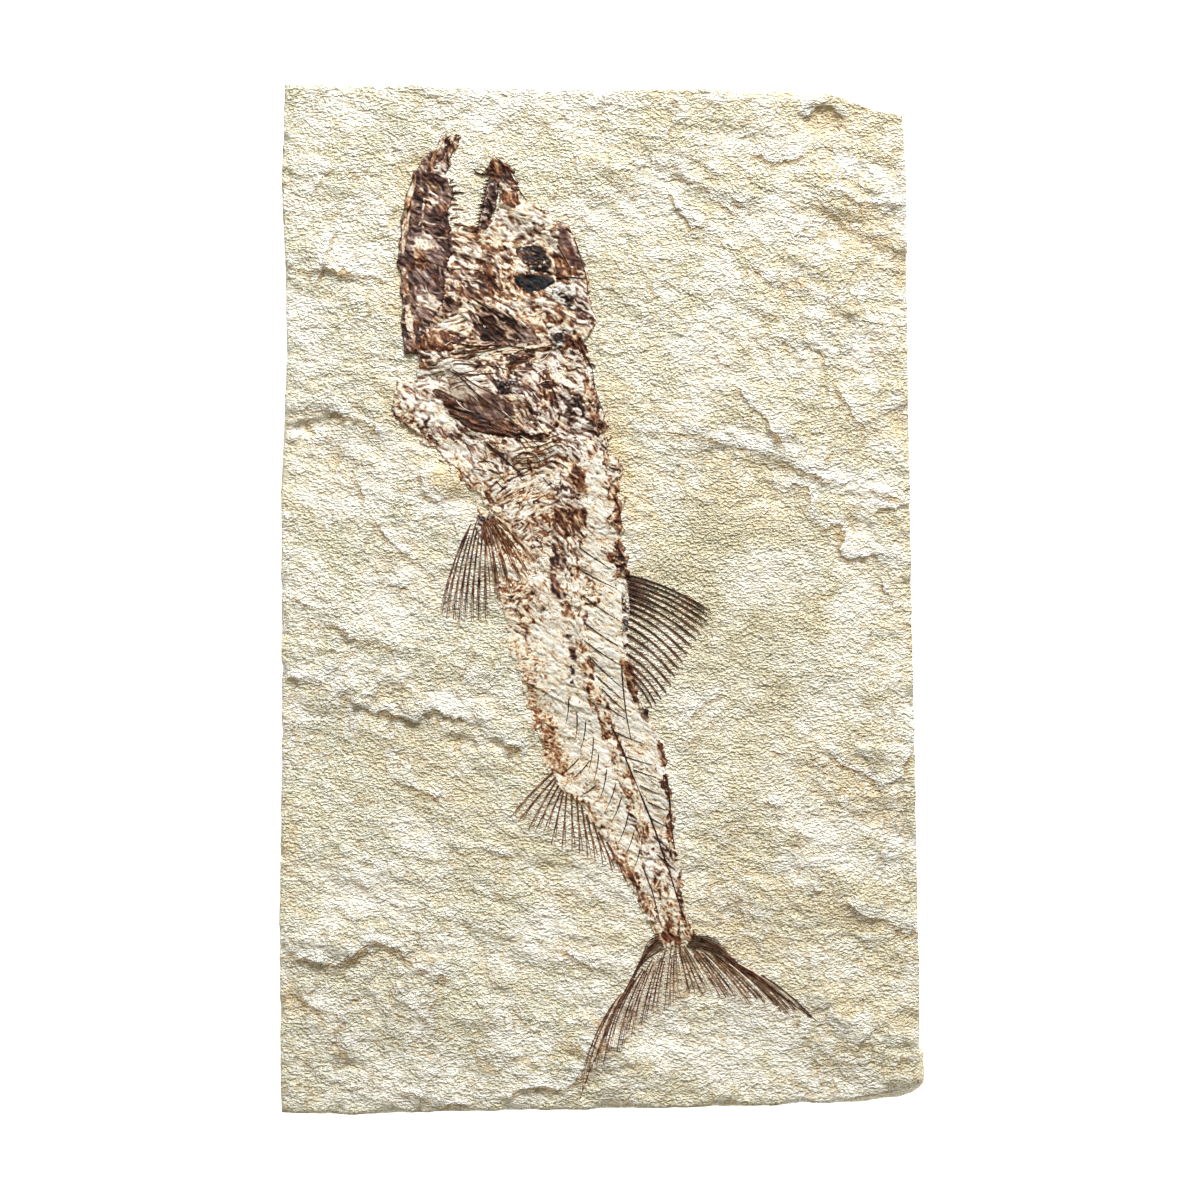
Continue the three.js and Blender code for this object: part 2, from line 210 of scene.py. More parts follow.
# Edges of the split beds: a crest line from left to right, how high it stands, how far back
# up the slab it runs out, and how sharp its drop is.
ledges = [
    (1.7, 11.0, 0.9, [(-66.5, -16.2), (-58, -18.7), (-53, -20.8), (-44.6, -24.4), (-38.3, -25.6), (-35, -22.5), (-30.8, -24.4), (-25.1, -26.5), (-22.4, -29.2), (-15.6, -33.4)]),
    (1.1, 8.0, 0.8, [(-66.5, 2.9), (-60.4, -1.5)]),
    (1.1, 8.0, 0.8, [(-61.5, -3.6), (-56, -5.7), (-51, -8.6), (-46.7, -8.6), (-40.4, -10.3)]),
    (0.8, 6.0, 0.6, [(-49.7, -0.4), (-46.1, 3.4), (-45, 1.7), (-44.6, 3.4), (-39.2, 1.7)]),
    (0.7, 6.0, 0.5, [(-57.4, 32.1), (-52.8, 29.6), (-51.1, 25.4), (-49, 19.5), (-46.1, 14.5), (-41, 9.5), (-35, 5), (-31.5, 6)]),
    (0.5, 4.0, 0.4, [(-25.1, -9.6), (-27.2, -13), (-29.3, -18)]),
    (1.3, 6.0, 0.9, [(-66.5, 39.2), (-58, 39.7), (-50, 37.5), (-44.5, 33)]),
    (0.8, 5.0, 0.9, [(-60.8, 83.4), (-60, 86.7), (-56.2, 91.4)]),
    (0.9, 6.0, 0.8, [(-59.5, 64.9), (-58.3, 69.9), (-57, 75), (-54.5, 78.3)]),
    (1.1, 7.0, 1.0, [(-66.5, 71.6), (-62, 69), (-59.5, 69), (-52, 69), (-47, 67.4), (-42.7, 66.6)]),
    (1.3, 13.0, 0.9, [(-66.5, -75), (-55, -77.5), (-48, -71), (-35.5, -79), (-30, -81)]),
    (0.9, 6.0, 0.7, [(-51, -87.5), (-41.5, -84.5), (-34, -90)]),
    (0.9, 5.0, 0.7, [(-42.5, -102.5), (-34, -106), (-23, -105), (-13, -102.5), (-6, -102.5), (-3.5, -97)]),
    (0.8, 5.0, 0.6, [(-13, -78.5), (-12, -75), (-9, -73.5), (-0.5, -77.5), (6.5, -77.5)]),
    (0.9, 4.0, 0.6, [(-25.7, -51.7), (-22.4, -53.3), (-18.2, -54.4)]),
    (1.0, 6.0, 0.7, [(-45.5, -34), (-43.4, -37.6), (-39.2, -39.7), (-36.2, -41.2), (-30, -41.2)]),
    (0.9, 4.0, 0.6, [(-20.9, -31.3), (-18.2, -30.9), (-15.6, -33.4)]),
    (1.0, 5.0, 0.5, [(13, 87.7), (16.9, 81.5), (19.4, 78.3), (21.1, 79), (24.6, 76.9)]),
    (0.7, 4.0, 0.5, [(24.6, 87), (28.5, 84.2), (31.6, 82.5)]),
    (0.8, 3.0, 0.5, [(25.3, 83.6), (28.4, 81.4), (31.2, 79.7)]),
    (0.9, 5.0, 0.7, [(30.2, 94.7), (35.1, 92.3), (37.9, 92.3), (42.1, 92.6), (44.6, 91.4)]),
    (1.2, 6.0, 0.8, [(46.3, 83.6), (49.8, 86.3), (53.3, 84.2), (54.7, 82.8), (59.6, 83.8), (61.4, 82.8), (66, 80)]),
    (1.0, 4.0, 0.5, [(32.3, 69.5), (34.4, 67.7), (36.9, 66.4)]),
    (0.9, 5.0, 0.6, [(9.2, 67.4), (13.4, 62.5), (16.9, 59)]),
    (0.9, 4.0, 0.5, [(24.6, 52), (26, 50.2), (27.4, 48.9)]),
    (0.9, 5.0, 0.5, [(-37.5, 22.4), (-34.0, 20.4), (-30.6, 21.6)]),
    (0.7, 3.0, 0.5, [(-37.6, 27.8), (-37.2, 24.0), (-36.0, 21.6)]),
    (1.2, 7.0, 0.6, [(28.1, 46.1), (31.6, 41.5), (35.8, 36.6), (39.3, 31)]),
    (0.9, 7.0, 0.6, [(45.6, 53.4), (47.7, 48.5), (50.5, 42.9), (54.7, 37.3), (56.5, 33.1)]),
    (1.4, 8.0, 0.9, [(38.6, 24), (43.5, 23.3), (43.5, 17), (47.7, 14.9), (49.8, 15.6), (50.5, 12.2), (51.9, 8.6), (57.5, 8.6), (59.5, -0.4)]),
    (1.0, 6.0, 0.8, [(50, 20.5), (57, 18.5), (66, 20.5)]),
    (1.3, 7.0, 0.9, [(45.6, -30.6), (50.5, -34), (56.8, -37.6), (59.6, -39.7), (63.1, -38.3), (66.6, -29.2)]),
    (0.8, 5.0, 0.6, [(34.4, -41.8), (39.3, -44.6)]),
    (0.8, 5.0, 0.6, [(40, -47.4), (44.9, -50.8)]),
    (0.7, 4.0, 0.5, [(35.8, -31.6), (38, -32.2), (40.4, -32)]),
    (1.4, 9.0, 0.9, [(42.5, -59), (50, -62), (54, -65.5), (67, -70.5)]),
    (1.2, 7.0, 0.9, [(45.5, -88.5), (52.5, -93), (59.5, -93.5)]),
    (0.7, 4.0, 0.5, [(49, -97), (52, -97.5), (54, -100.5), (57, -101)]),
    (0.6, 6.0, 1.2, [(5, 35.5), (20.5, 34.5), (36, 30), (47, 25), (66, 20.5)]),
    (0.7, 4.0, 0.5, [(16.9, -26.5), (23, -21.5), (30.1, -16)]),
    (0.6, 4.0, 0.5, [(14, -32), (20, -29), (25, -26)]),
    (1.1, 5.0, 0.7, [(42.1, 99.6), (47.3, 104.5), (52.6, 100.4)]),
    (0.8, 5.0, 0.5, [(14.1, 106.3), (17.3, 103.1), (20.4, 102.5)]),
    (0.5, 4.0, 0.4, [(20.4, 102.8), (23, 104.8), (26, 103.5)]),
]

# Flakes that have come away, and two that still stand up: middle, radii, turn in degrees
# and depth.
hollows = [
    (-62.5, 36.2, 4.5, 1.5, -3, 0.6),
    (-64.0, -83.5, 4.0, 3.0, -30, 1.0),
    (34.0, 68.5, 2.2, 1.2, -35, 0.8),
    (47.4, 100.8, 4.2, 2.4, 0, 0.35),
    (54.7, 78.2, 8.5, 4.6, -8, 0.4),
    (47.8, 58.8, 1.9, 1.9, 0, 0.6),
    (60.0, 36.6, 4.6, 3.2, 20, 0.4),
    (54.0, 15.0, 3.8, 2.6, 0, 0.5),
    (-28.0, -30.2, 4.4, 1.1, -4, 0.6),
    (-6.0, -74.5, 5.0, 3.2, -12, 0.4),
    (-21.5, -31.5, 2.0, 0.9, -20, 0.6),
    (-32.4, 24.6, 4.4, 3.4, -14, -1.2),
    (-39.6, 29.0, 3.2, 5.0, 28, -0.7),
]


def lineDistance(x, y, points):
    # distance to a line of points, positive above it as it runs to the right, and the
    # length along it of the nearest point
    best = np.full(x.shape, 1e9)
    side = np.zeros(x.shape)
    travel = np.zeros(x.shape)
    covered = 0.0
    for (ax, ay), (bx, by) in zip(points, points[1:]):
        dx, dy = bx - ax, by - ay
        length = math.hypot(dx, dy)
        share = np.clip(((x - ax) * dx + (y - ay) * dy) / length ** 2, 0.0, 1.0)
        gapX = x - (ax + share * dx)
        gapY = y - (ay + share * dy)
        distance = np.hypot(gapX, gapY)
        nearer = distance < best
        best = np.where(nearer, distance, best)
        side = np.where(nearer, np.sign(dx * gapY - dy * gapX), side)
        travel = np.where(nearer, covered + share * length, travel)
        covered += length
    return best * side, travel, covered


def ledgeRelief(x, y):
    # height of the ledges, their bare faces, the distance above the nearest crest and how
    # strong that crest is
    height = np.zeros(x.shape)
    face = np.zeros(x.shape)
    gap = np.full(x.shape, 6.0)
    crest = np.zeros(x.shape)
    warpX = x + 0.9 * roughNoise(x, y, 3.4, 301, 4, 0.66) + 0.3 * softNoise(x, y, 0.8, 303)
    warpY = y + 0.9 * roughNoise(x, y, 3.4, 305, 4, 0.66) + 0.3 * softNoise(x, y, 0.8, 307)
    for rise, run, drop, points in ledges:
        near = (
            (x > min(p[0] for p in points) - run - 3) & (x < max(p[0] for p in points) + run + 3)
            & (y > min(p[1] for p in points) - run - 3) & (y < max(p[1] for p in points) + run + 3)
        )
        bend = min(1.0, 0.7 * rise)
        bentX = x[near] + bend * (warpX - x)[near]
        bentY = y[near] + bend * (warpY - y)[near]
        distance, travel, whole = lineDistance(bentX, bentY, points)
        taper = min(4.0, whole * 0.3)
        ends = ease(travel / taper + 0.15) * ease((whole - travel) / taper + 0.15)
        ends = np.where((travel <= 0.0) | (travel >= whole), 0.0, ends)
        ends = np.where(np.abs(points[0][0]) > 64, ease((whole - travel) / taper), ends)
        ends = np.where(np.abs(points[-1][0]) > 64, ease(travel / taper), ends)
        ragged = np.clip(0.75 + 0.9 * roughNoise(x[near], y[near], 4.2, 311, 3), 0.05, 1.25)
        strength = rise * stone["ledgeRise"] * ragged * ends
        up = np.clip(1.0 - distance / run, 0.0, 1.0) ** 1.6
        down = 1.0 - ease(-distance / (drop * 1.1))
        height[near] += strength * np.where(distance > 0.0, up, down)
        onFace = np.where(distance < 0.0, ease(1.0 + distance / (drop + 0.5)), ease(1.0 - distance / 0.3))
        face[near] = np.maximum(face[near], onFace * np.clip(strength * 1.5, 0.0, 1.0))
        nearer = (np.abs(distance) < np.abs(gap[near])) & (ends > 0.05)
        gap[near] = np.where(nearer, distance, gap[near])
        crest[near] = np.where(nearer, np.clip(ragged * ends * (0.6 + 0.4 * rise), 0.0, 1.0), crest[near])
    for middleX, middleY, wide, tall, turn, depth in hollows:
        c, s = math.cos(math.radians(turn)), math.sin(math.radians(turn))
        u = ((warpX - middleX) * c + (warpY - middleY) * s) / wide
        v = (-(warpX - middleX) * s + (warpY - middleY) * c) / tall
        inside = ease(1.6 - 1.2 * np.hypot(u, v))
        height -= 0.55 * depth * inside
        face = np.maximum(face, (0.9 if depth > 0 else 0.3) * inside)
    return height, face, gap, crest


def chips(x, y, cell, seed):
    # angular flakes: each leans its own way and stands at its own height
    u, v = alongStrike(x, y, stone["strike"], 1.7)
    u = u / cell + 0.45 * softNoise(x, y, 2.2, seed + 1) + 0.2 * softNoise(x, y, 0.9, seed + 3)
    v = v / cell + 0.45 * softNoise(x, y, 2.2, seed + 2) + 0.2 * softNoise(x, y, 0.9, seed + 4)
    jitterU, jitterV, rise, leanU, leanV = np.random.default_rng(seed).random((5, 256, 256))
    baseU, baseV = np.floor(u).astype(int), np.floor(v).astype(int)
    first = np.full(u.shape, 9.0)
    height = np.zeros(u.shape)
    for stepU in (-1, 0, 1):
        for stepV in (-1, 0, 1):
            column, row = (baseU + stepU) & 255, (baseV + stepV) & 255
            gapU = baseU + stepU + jitterU[column, row] - u
            gapV = baseV + stepV + jitterV[column, row] - v
            distance = np.hypot(gapU, gapV)
            plane = rise[column, row] - 0.5 + 0.9 * gapU * (leanU[column, row] - 0.5) + 0.9 * gapV * (leanV[column, row] - 0.35)
            nearer = distance < first
            height = np.where(nearer, plane, height)
            first = np.where(nearer, distance, first)
    return height


# Where the split face is torn into chips: middle, radii and strength.
roughZones = [
    (-45, -85, 30, 22, 0.9), (-10, -92, 34, 14, 0.7), (52, -45, 16, 26, 0.8), (52, -85, 18, 20, 0.9),
    (50, 70, 18, 30, 0.8), (20, 92, 24, 12, 0.8), (34, 28, 30, 12, 0.6), (-52, -22, 18, 16, 0.7), (-52, 66, 16, 14, 0.4),
    (30, -60, 16, 18, 0.45), (-56, 34, 12, 8, 0.7), (24, -24, 10, 8, 0.5),
]


def stoneRelief(x, y):
    u, v = alongStrike(x, y, stone["strike"], 2.4)
    swell = stone["broadSwell"] * roughNoise(x, y, stone["broadCell"], 21, 2)
    # torn beds: a slow rise and a sharp drop towards the lower left, broken up by noise
    wander = 1.1 * roughNoise(u, v, 9.0, 41, 4, 0.55)
    beds = -v / stone["terracePitch"] + wander
    step = beds - np.floor(beds)
    bedShape = np.where(step < 0.86, step / 0.86, (1.0 - step) / 0.14)
    patch = ease(0.5 + 1.3 * roughNoise(x, y, 17.0, 53, 2))
    calm = 1.0 - 0.65 * ease((x - 2.0) / 12.0) * ease((60.0 - x) / 12.0) * ease((y + 50.0) / 20.0) * ease((30.0 - y) / 16.0)
    torn = stone["terraceRise"] * (bedShape - 0.5) * patch * calm
    tear = stone["tearRise"] * roughNoise(u, v, stone["tearCell"], 67, 4, 0.55) * (0.45 + 0.55 * calm)
    gu, gv = alongStrike(x, y, math.radians(-6.0), 1.8)
    grain = stone["grainRise"] * roughNoise(gu, gv, stone["grainCell"], 83, 2, 0.6)
    ledge, face, gap, crest = ledgeRelief(x, y)
    torn2 = np.full(x.shape, 0.1)
    for middleX, middleY, wide, tall, strength in roughZones:
        torn2 = np.maximum(torn2, strength * ease(1.3 - np.hypot((x - middleX) / wide, (y - middleY) / tall)))
    torn2 = torn2 * ease(0.55 + 0.9 * roughNoise(x, y, 8.0, 59, 2)) + 0.5 * face
    chipped = chips(x, y, stone["chipCell"], 91) + 0.45 * chips(x, y, stone["chipCell"] * 0.45, 97)
    share = (0.5 + 0.5 * np.clip(1.3 * torn2, 0.0, 1.0)) * (0.25 + 0.75 * calm)
    # thin beds that have split off one by one, so that the face steps down along ragged edges
    splits = []
    for cell, stretch, rise, seed in ((18.0, 1.7, 1.0, 131), (6.5, 2.0, 0.6, 151)):
        bentX = x + 0.6 * roughNoise(x, y, 2.2, seed + 7, 2)
        bentY = y + 0.6 * roughNoise(x, y, 2.2, seed + 9, 2)
        lu, lv = alongStrike(bentX, bentY, stone["strike"], stretch)
        field = 2.6 * roughNoise(lu, lv, cell, seed, 4, 0.5) + 0.5 * chips(x, y, cell * 0.42, seed + 17)
        part = field - np.floor(field)
        levels = np.floor(field) + ease((part - 0.84) / 0.16) - 0.25 * part
        ledge = ledge + stone["levelRise"] * rise * levels * share
        splits.append(field)
    ledge = ledge + stone["chipRise"] * torn2 * chipped
    face = np.maximum(face, 0.55 * torn2 * ease(-chipped * 2.0))
    onStep = np.where(step > 0.84, 1.0, 0.0) * patch * calm
    # hollow marks bare ledge faces, bed risers, hollows and low chips, tinted tan as partly fresh-break colour and
    # partly painted shade
    marks = {
        "hollow": np.maximum(face, 0.5 * onStep),
        "crestGap": gap,
        "crest": crest,
        "splitShare": share,
        "splitWide": splits[0],
        "splitFine": splits[1],
    }
    return swell + torn + tear + grain + ledge, marks


def stoneTop(x, y):
    relief, marks = stoneRelief(x, y)
    return bedTop + relief, marks


# The fish's relief ----------------------------------------------------------------------
# The crushed bones are shaped on one fine grid that holds a height above the stone and
# four shades for each point. Each bone group is then cut out of it as a piece of its own.

relief = {
    "step": 0.17,
    "left": -46.0,
    "right": 25.0,
    "low": -74.0,
    "top": 100.0,
    "sink": -0.3,             # mm, a group's rim lies this far under the stone's face
    "rim": 0.55,              # mm over which it comes up to its own height
    "depth": 1.4,
}

gridX, gridY = np.meshgrid(
    np.arange(relief["left"], relief["right"], relief["step"]),
    np.arange(relief["low"], relief["top"], relief["step"]),
)
stoneZ = stoneTop(gridX, gridY)[0]
warpX = 0.55 * roughNoise(gridX, gridY, 3.2, 601, 3) + 0.2 * softNoise(gridX, gridY, 0.7, 603)
warpY = 0.55 * roughNoise(gridX, gridY, 3.2, 605, 3) + 0.2 * softNoise(gridX, gridY, 0.7, 607)
fishRise = np.full(gridX.shape, -9.0)
fishOwner = np.full(gridX.shape, -1)
shades = {name: np.zeros(gridX.shape) for name in ("tone", "rust", "mauve", "blue")}
shades["tone"][:] = 0.8

# How a crushed patch looks: flecks about a cell in mm wide, stretched along an angle in degrees,
# toned from low to high with the share of the light ones, then the shares of white and of
# rust-brown, how mauve and blue it is, how high it stands and how dark its crinkles are.
looks = {
    "darkBone": dict(cell=0.43, stretch=3.0, angle=-44, tones=(0.08, 0.42), light=0.45, white=0.05, rust=0.2, mauve=0.8, lump=0.16, crinkle=0.5, bend=0.6),
    "jawBrown": dict(cell=0.47, stretch=2.2, angle=-60, tones=(0.12, 0.5), light=0.4, white=0.05, rust=0.25, mauve=0.45, lump=0.14, crinkle=0.5),
    "jawFine": dict(cell=0.32, stretch=6.0, angle=-36, tones=(0.2, 0.56), light=0.5, white=0.05, rust=0.08, mauve=1.0, lump=0.1, crinkle=0.35),
    "jawTan": dict(cell=0.4, stretch=4.0, angle=80, tones=(0.3, 0.74), light=0.5, white=0.06, rust=0.5, mauve=0.2, lump=0.1, crinkle=0.4),
    "jawTip": dict(cell=0.39, stretch=2.4, angle=62, tones=(0.15, 0.85), light=0.45, white=0.1, rust=0.3, mauve=0.3, lump=0.2, crinkle=0.6),
    "crumbs": dict(cell=0.4, stretch=2.6, angle=-30, tones=(0.34, 0.96), light=0.58, white=0.12, rust=0.5, mauve=0.4, lump=0.17, crinkle=0.5),
    "crumbsDark": dict(cell=0.4, stretch=3.0, angle=-35, tones=(0.16, 0.86), light=0.42, white=0.1, rust=0.45, mauve=0.4, lump=0.2, crinkle=0.6),
    "pinkWhite": dict(cell=0.39, stretch=2.6, angle=-35, tones=(0.44, 1.0), light=0.62, white=0.2, rust=0.35, mauve=0.45, lump=0.14, crinkle=0.55),
    "rustDark": dict(cell=0.42, stretch=2.6, angle=-60, tones=(0.1, 0.5), light=0.4, white=0.03, rust=0.95, mauve=0.2, lump=0.18, crinkle=0.5),
    "rustMid": dict(cell=0.38, stretch=2.6, angle=-50, tones=(0.22, 0.72), light=0.45, white=0.05, rust=0.95, mauve=0.1, lump=0.15, crinkle=0.5),
    "rustFlecks": dict(cell=0.35, stretch=2.4, angle=-40, tones=(0.24, 0.98), light=0.55, white=0.12, rust=0.8, mauve=0.2, lump=0.16, crinkle=0.5),
    "mauvePlate": dict(cell=0.6, stretch=5.0, angle=-62, tones=(0.26, 0.46), light=0.5, white=0.0, rust=0.1, mauve=0.9, lump=0.05, crinkle=0.15, fine=0.2, bend=0.4),
    "tanPlate": dict(cell=0.6, stretch=4.0, angle=-20, tones=(0.5, 0.76), light=0.5, white=0.03, rust=0.2, mauve=0.5, lump=0.08, crinkle=0.2, fine=0.15),
    "opercle": dict(cell=0.43, stretch=3.6, angle=-40, tones=(0.06, 0.56), light=0.4, white=0.1, rust=0.15, mauve=0.5, lump=0.25, crinkle=0.5),
    "blueGrey": dict(cell=0.34, stretch=2.2, angle=-20, tones=(0.15, 1.0), light=0.55, white=0.2, rust=0.05, mauve=0.3, blue=0.55, lump=0.15, crinkle=0.5),
    "blueBlack": dict(cell=0.34, stretch=1.7, angle=-40, tones=(0.02, 0.7), light=0.3, white=0.1, rust=0.0, mauve=0.4, blue=0.6, lump=0.15, crinkle=0.5),
    "greyPurple": dict(cell=0.34, stretch=3.2, angle=-36, tones=(0.22, 0.92), light=0.56, white=0.16, rust=0.25, mauve=0.75, lump=0.16, crinkle=0.6),
    "goldFibre": dict(cell=0.33, stretch=6.0, angle=12, tones=(0.24, 0.95), light=0.55, white=0.12, rust=0.6, mauve=0.0, lump=0.16, crinkle=0.6, bend=0.6),
    "whiteFibre": dict(cell=0.31, stretch=6.5, angle=8, tones=(0.34, 1.0), light=0.66, white=0.25, rust=0.2, mauve=0.5, lump=0.15, crinkle=0.6, bend=0.6),
    "darkFibre": dict(cell=0.31, stretch=6.0, angle=-24, tones=(0.02, 0.34), light=0.4, white=0.03, rust=0.35, mauve=0.35, lump=0.22, crinkle=0.5, bend=0.4),
    "brownFlecks": dict(cell=0.33, stretch=3.2, angle=-42, tones=(0.24, 0.96), light=0.58, white=0.14, rust=0.4, mauve=0.5, lump=0.16, crinkle=0.6),
    "wavyFlecks": dict(cell=0.33, stretch=3.6, angle=22, tones=(0.32, 0.98), light=0.58, white=0.18, rust=0.45, mauve=0.4, lump=0.15, crinkle=0.6),
    "pinkFlecks": dict(cell=0.33, stretch=3.0, angle=-44, tones=(0.46, 0.98), light=0.6, white=0.18, rust=0.25, mauve=0.65, lump=0.14, crinkle=0.5),
    "chalk": dict(cell=0.36, stretch=2.2, angle=-38, tones=(0.78, 1.0), light=0.68, white=0.3, rust=0.3, mauve=0.05, lump=0.12, crinkle=0.4),
    "chalkLines": dict(cell=0.33, stretch=4.4, angle=-34, tones=(0.72, 1.0), light=0.72, white=0.3, rust=0.25, mauve=0.06, lump=0.14, crinkle=0.66, bend=0.5),
    "vertebra": dict(cell=0.38, stretch=2.2, angle=-65, tones=(0.34, 1.0), light=0.56, white=0.12, rust=0.5, mauve=0.5, lump=0.16, crinkle=0.55),
    "bellyGrain": dict(cell=0.24, stretch=1.6, angle=-12, tones=(0.42, 0.9), light=0.5, white=0.06, rust=0.8, mauve=0.3, lump=0.07, crinkle=0.5, bend=0.4),
    "bellyPale": dict(cell=0.24, stretch=1.6, angle=8, tones=(0.56, 1.0), light=0.62, white=0.2, rust=0.8, mauve=0.2, lump=0.08, crinkle=0.5, bend=0.4),
    "yellowGrain": dict(cell=0.28, stretch=1.6, angle=10, tones=(0.34, 1.0), light=0.55, white=0.15, rust=0.85, mauve=0.0, lump=0.14, crinkle=0.5, bend=0.4),
    "ridge": dict(cell=0.6, stretch=1.7, angle=-60, tones=(0.12, 0.66), light=0.42, white=0.08, rust=0.7, mauve=0.6, lump=0.34, crinkle=0.5),
    "stalk": dict(cell=0.3, stretch=2.4, angle=-66, tones=(0.34, 1.0), light=0.56, white=0.16, rust=0.65, mauve=0.3, lump=0.1, crinkle=0.55, bend=0.5),
    "olive": dict(cell=0.45, stretch=1.5, angle=-30, tones=(-0.1, 0.42), light=0.34, white=0.08, rust=0.05, mauve=0.0, blue=0.4, lump=0.2, crinkle=0.3, fine=0.5),
    "film": dict(cell=0.6, stretch=1.8, angle=0, tones=(0.07, 0.21), light=0.4, white=0.0, rust=0.0, mauve=0.0, blue=1.0, lump=0.05, crinkle=0.2, fine=0.08, bend=0.3),
}


def patchDistance(x, y, points):
    # distance to a closed outline, positive inside
    best = np.full(x.shape, 1e9)
    inside = np.zeros(x.shape, bool)
    for (ax, ay), (bx, by) in zip(points, points[1:] + points[:1]):
        dx, dy = bx - ax, by - ay
        share = np.clip(((x - ax) * dx + (y - ay) * dy) / max(dx * dx + dy * dy, 1e-9), 0.0, 1.0)
        best = np.minimum(best, np.hypot(x - ax - share * dx, y - ay - share * dy))
        crosses = (ay > y) != (by > y)
        if by != ay:
            inside ^= crosses & (x < (bx - ax) * (y - ay) / (by - ay) + ax)
    return np.where(inside, best, -best)


def ovalPoints(x, y, wide, tall, turn=0.0, count=18):
    c, s = math.cos(math.radians(turn)), math.sin(math.radians(turn))
    ring = [(wide * math.cos(2 * math.pi * i / count), tall * math.sin(2 * math.pi * i / count)) for i in range(count)]
    return [(x + u * c - v * s, y + u * s + v * c) for u, v in ring]


def windowOf(points, margin):
    xs, ys = [p[0] for p in points], [p[1] for p in points]
    columns = slice(
        max(0, int((min(xs) - margin - relief["left"]) / relief["step"])),
        max(1, int((max(xs) + margin - relief["left"]) / relief["step"]) + 2),
    )
    rows = slice(
        max(0, int((min(ys) - margin - relief["low"]) / relief["step"])),
        max(1, int((max(ys) + margin - relief["low"]) / relief["step"]) + 2),
    )
    return rows, columns


def shareCut(share, spread):
    # the level that leaves about this share of a noise above it
    return spread * (1.0 - 2.0 * share) * 1.15


def paintLook(area, mask, look, seed, share, height, weight=None):
    # lays one look over the masked part of a window; share thins it out to loose flecks
    x, y = gridX[area], gridY[area]
    recipe = looks[look]
    cell = recipe["cell"]
    bend = recipe.get("bend", 1.0)
    bentX = x + bend * softNoise(x, y, 4.5, seed + 15) + 0.3 * softNoise(x, y, 1.3, seed + 1)
    bentY = y + bend * softNoise(x, y, 4.5, seed + 16) + 0.3 * softNoise(x, y, 1.3, seed + 2)
    u, v = alongStrike(bentX, bentY, math.radians(recipe["angle"]), recipe["stretch"])
    body = roughNoise(u, v, cell * 1.6, seed + 3, 2, 0.6)
    bright = ease(0.5 + (body - shareCut(recipe["light"], 0.7)) / 1.15)
    low, high = recipe["tones"]
    tone = low + (high - low) * bright
    streak = softNoise(u, v, cell * 0.95, seed + 5) + 0.6 * softNoise(u, v, cell * 0.55, seed + 6)
    tone = tone + recipe.get("fine", 0.34) * streak * (0.6 + 0.4 * (high - low))
    crease = roughNoise(u, v, cell * 1.7, seed + 7, 2)
    groove = 1.0 - ease(np.abs(crease) / 0.11)
    tone = tone * (1.0 - recipe["crinkle"] * groove)
    flash = softNoise(u, v, cell * 0.9, seed + 9)
    tone = np.where(flash > 1.0 - 1.35 * recipe["white"] ** 0.75, np.maximum(tone, 0.86), tone)
    tint = softNoise(x, y, 1.9, seed + 11) + 0.5 * softNoise(x, y, 0.6, seed + 12)
    rust = ease(0.5 + (tint - shareCut(recipe["rust"], 0.8)) / 0.9)
    lump = recipe["lump"] * (0.5 * body + 0.42 * streak - 0.4 * groove)
    weight = mask.astype(float) if weight is None else weight * mask
    if share < 1.0:
        loose = softNoise(u, v, cell * 2.6, seed + 17) + 0.5 * softNoise(x, y, 0.7, seed + 18)
        weight = weight * ease(0.5 + (loose - shareCut(share, 0.85)) / 0.45)
    values = {
        "tone": tone,
        "rust": rust,
        "mauve": recipe["mauve"] * (0.7 + 0.3 * softNoise(x, y, 2.3, seed + 19)),
        "blue": np.full(x.shape, recipe.get("blue", 0.0)) * ease(0.75 + 0.6 * softNoise(x, y, 1.1, seed + 20)),
    }
    for name, value in values.items():
        shades[name][area] += weight * (value - shades[name][area])
    fishRise[area] += weight * (height + lump - fishRise[area])


groupHeight = np.full(gridX.shape, -9.0)
paintCount = 0


def layGroup(number, look, points, height, rough=1.0, lumpy=0.25, fray=0.35, whole=True):
    # starts a bone group: its footprint, its look and its height above the stone
    global paintCount
    paintCount += 1
    area = windowOf(points, 2.5)
    x = gridX[area] + rough * warpX[area]
    y = gridY[area] + rough * warpY[area]
    distance = patchDistance(x, y, points)
    frayed = softNoise(gridX[area], gridY[area], 1.1, 617) + 0.6 * softNoise(gridX[area], gridY[area], 0.5, 619)
    distance = distance + fray * frayed
    if not whole:
        distance = distance - 1.1 * ease(0.1 - 1.6 * softNoise(gridX[area], gridY[area], 1.7, 623))
    mask = distance > -0.35
    below = np.where(fishOwner[area] >= 0, groupHeight[area], relief["sink"])
    rimmed = below + (height - below) * ease((distance + 0.35) / relief["rim"])
    swell = lumpy * roughNoise(gridX[area], gridY[area], 5.0, 611, 3) * ease((distance - 0.1) / 1.5)
    lifted = rimmed + swell
    fishOwner[area][mask] = number
    groupHeight[area][mask] = lifted[mask]
    fishRise[area][mask] = lifted[mask]
    paintLook(area, mask, look, 1000 + paintCount * 31, 1.0, lifted)


def layPatch(look, points, rough=1.0, share=1.0, lift=0.0, only=None):
    # lays a look over part of the groups already there
    global paintCount
    paintCount += 1
    area = windowOf(points, 1.5)
    x = gridX[area] + rough * warpX[area]
    y = gridY[area] + rough * warpY[area]
    distance = patchDistance(x, y, points)
    mask = (distance > -0.4) & (fishOwner[area] >= 0)
    if only is not None:
        mask &= fishOwner[area] == only
    if lift:
        groupHeight[area][mask] += (lift * ease(distance / 0.5))[mask]
    paintLook(area, mask, look, 1000 + paintCount * 31, share, groupHeight[area], ease(0.5 + distance / 0.8))


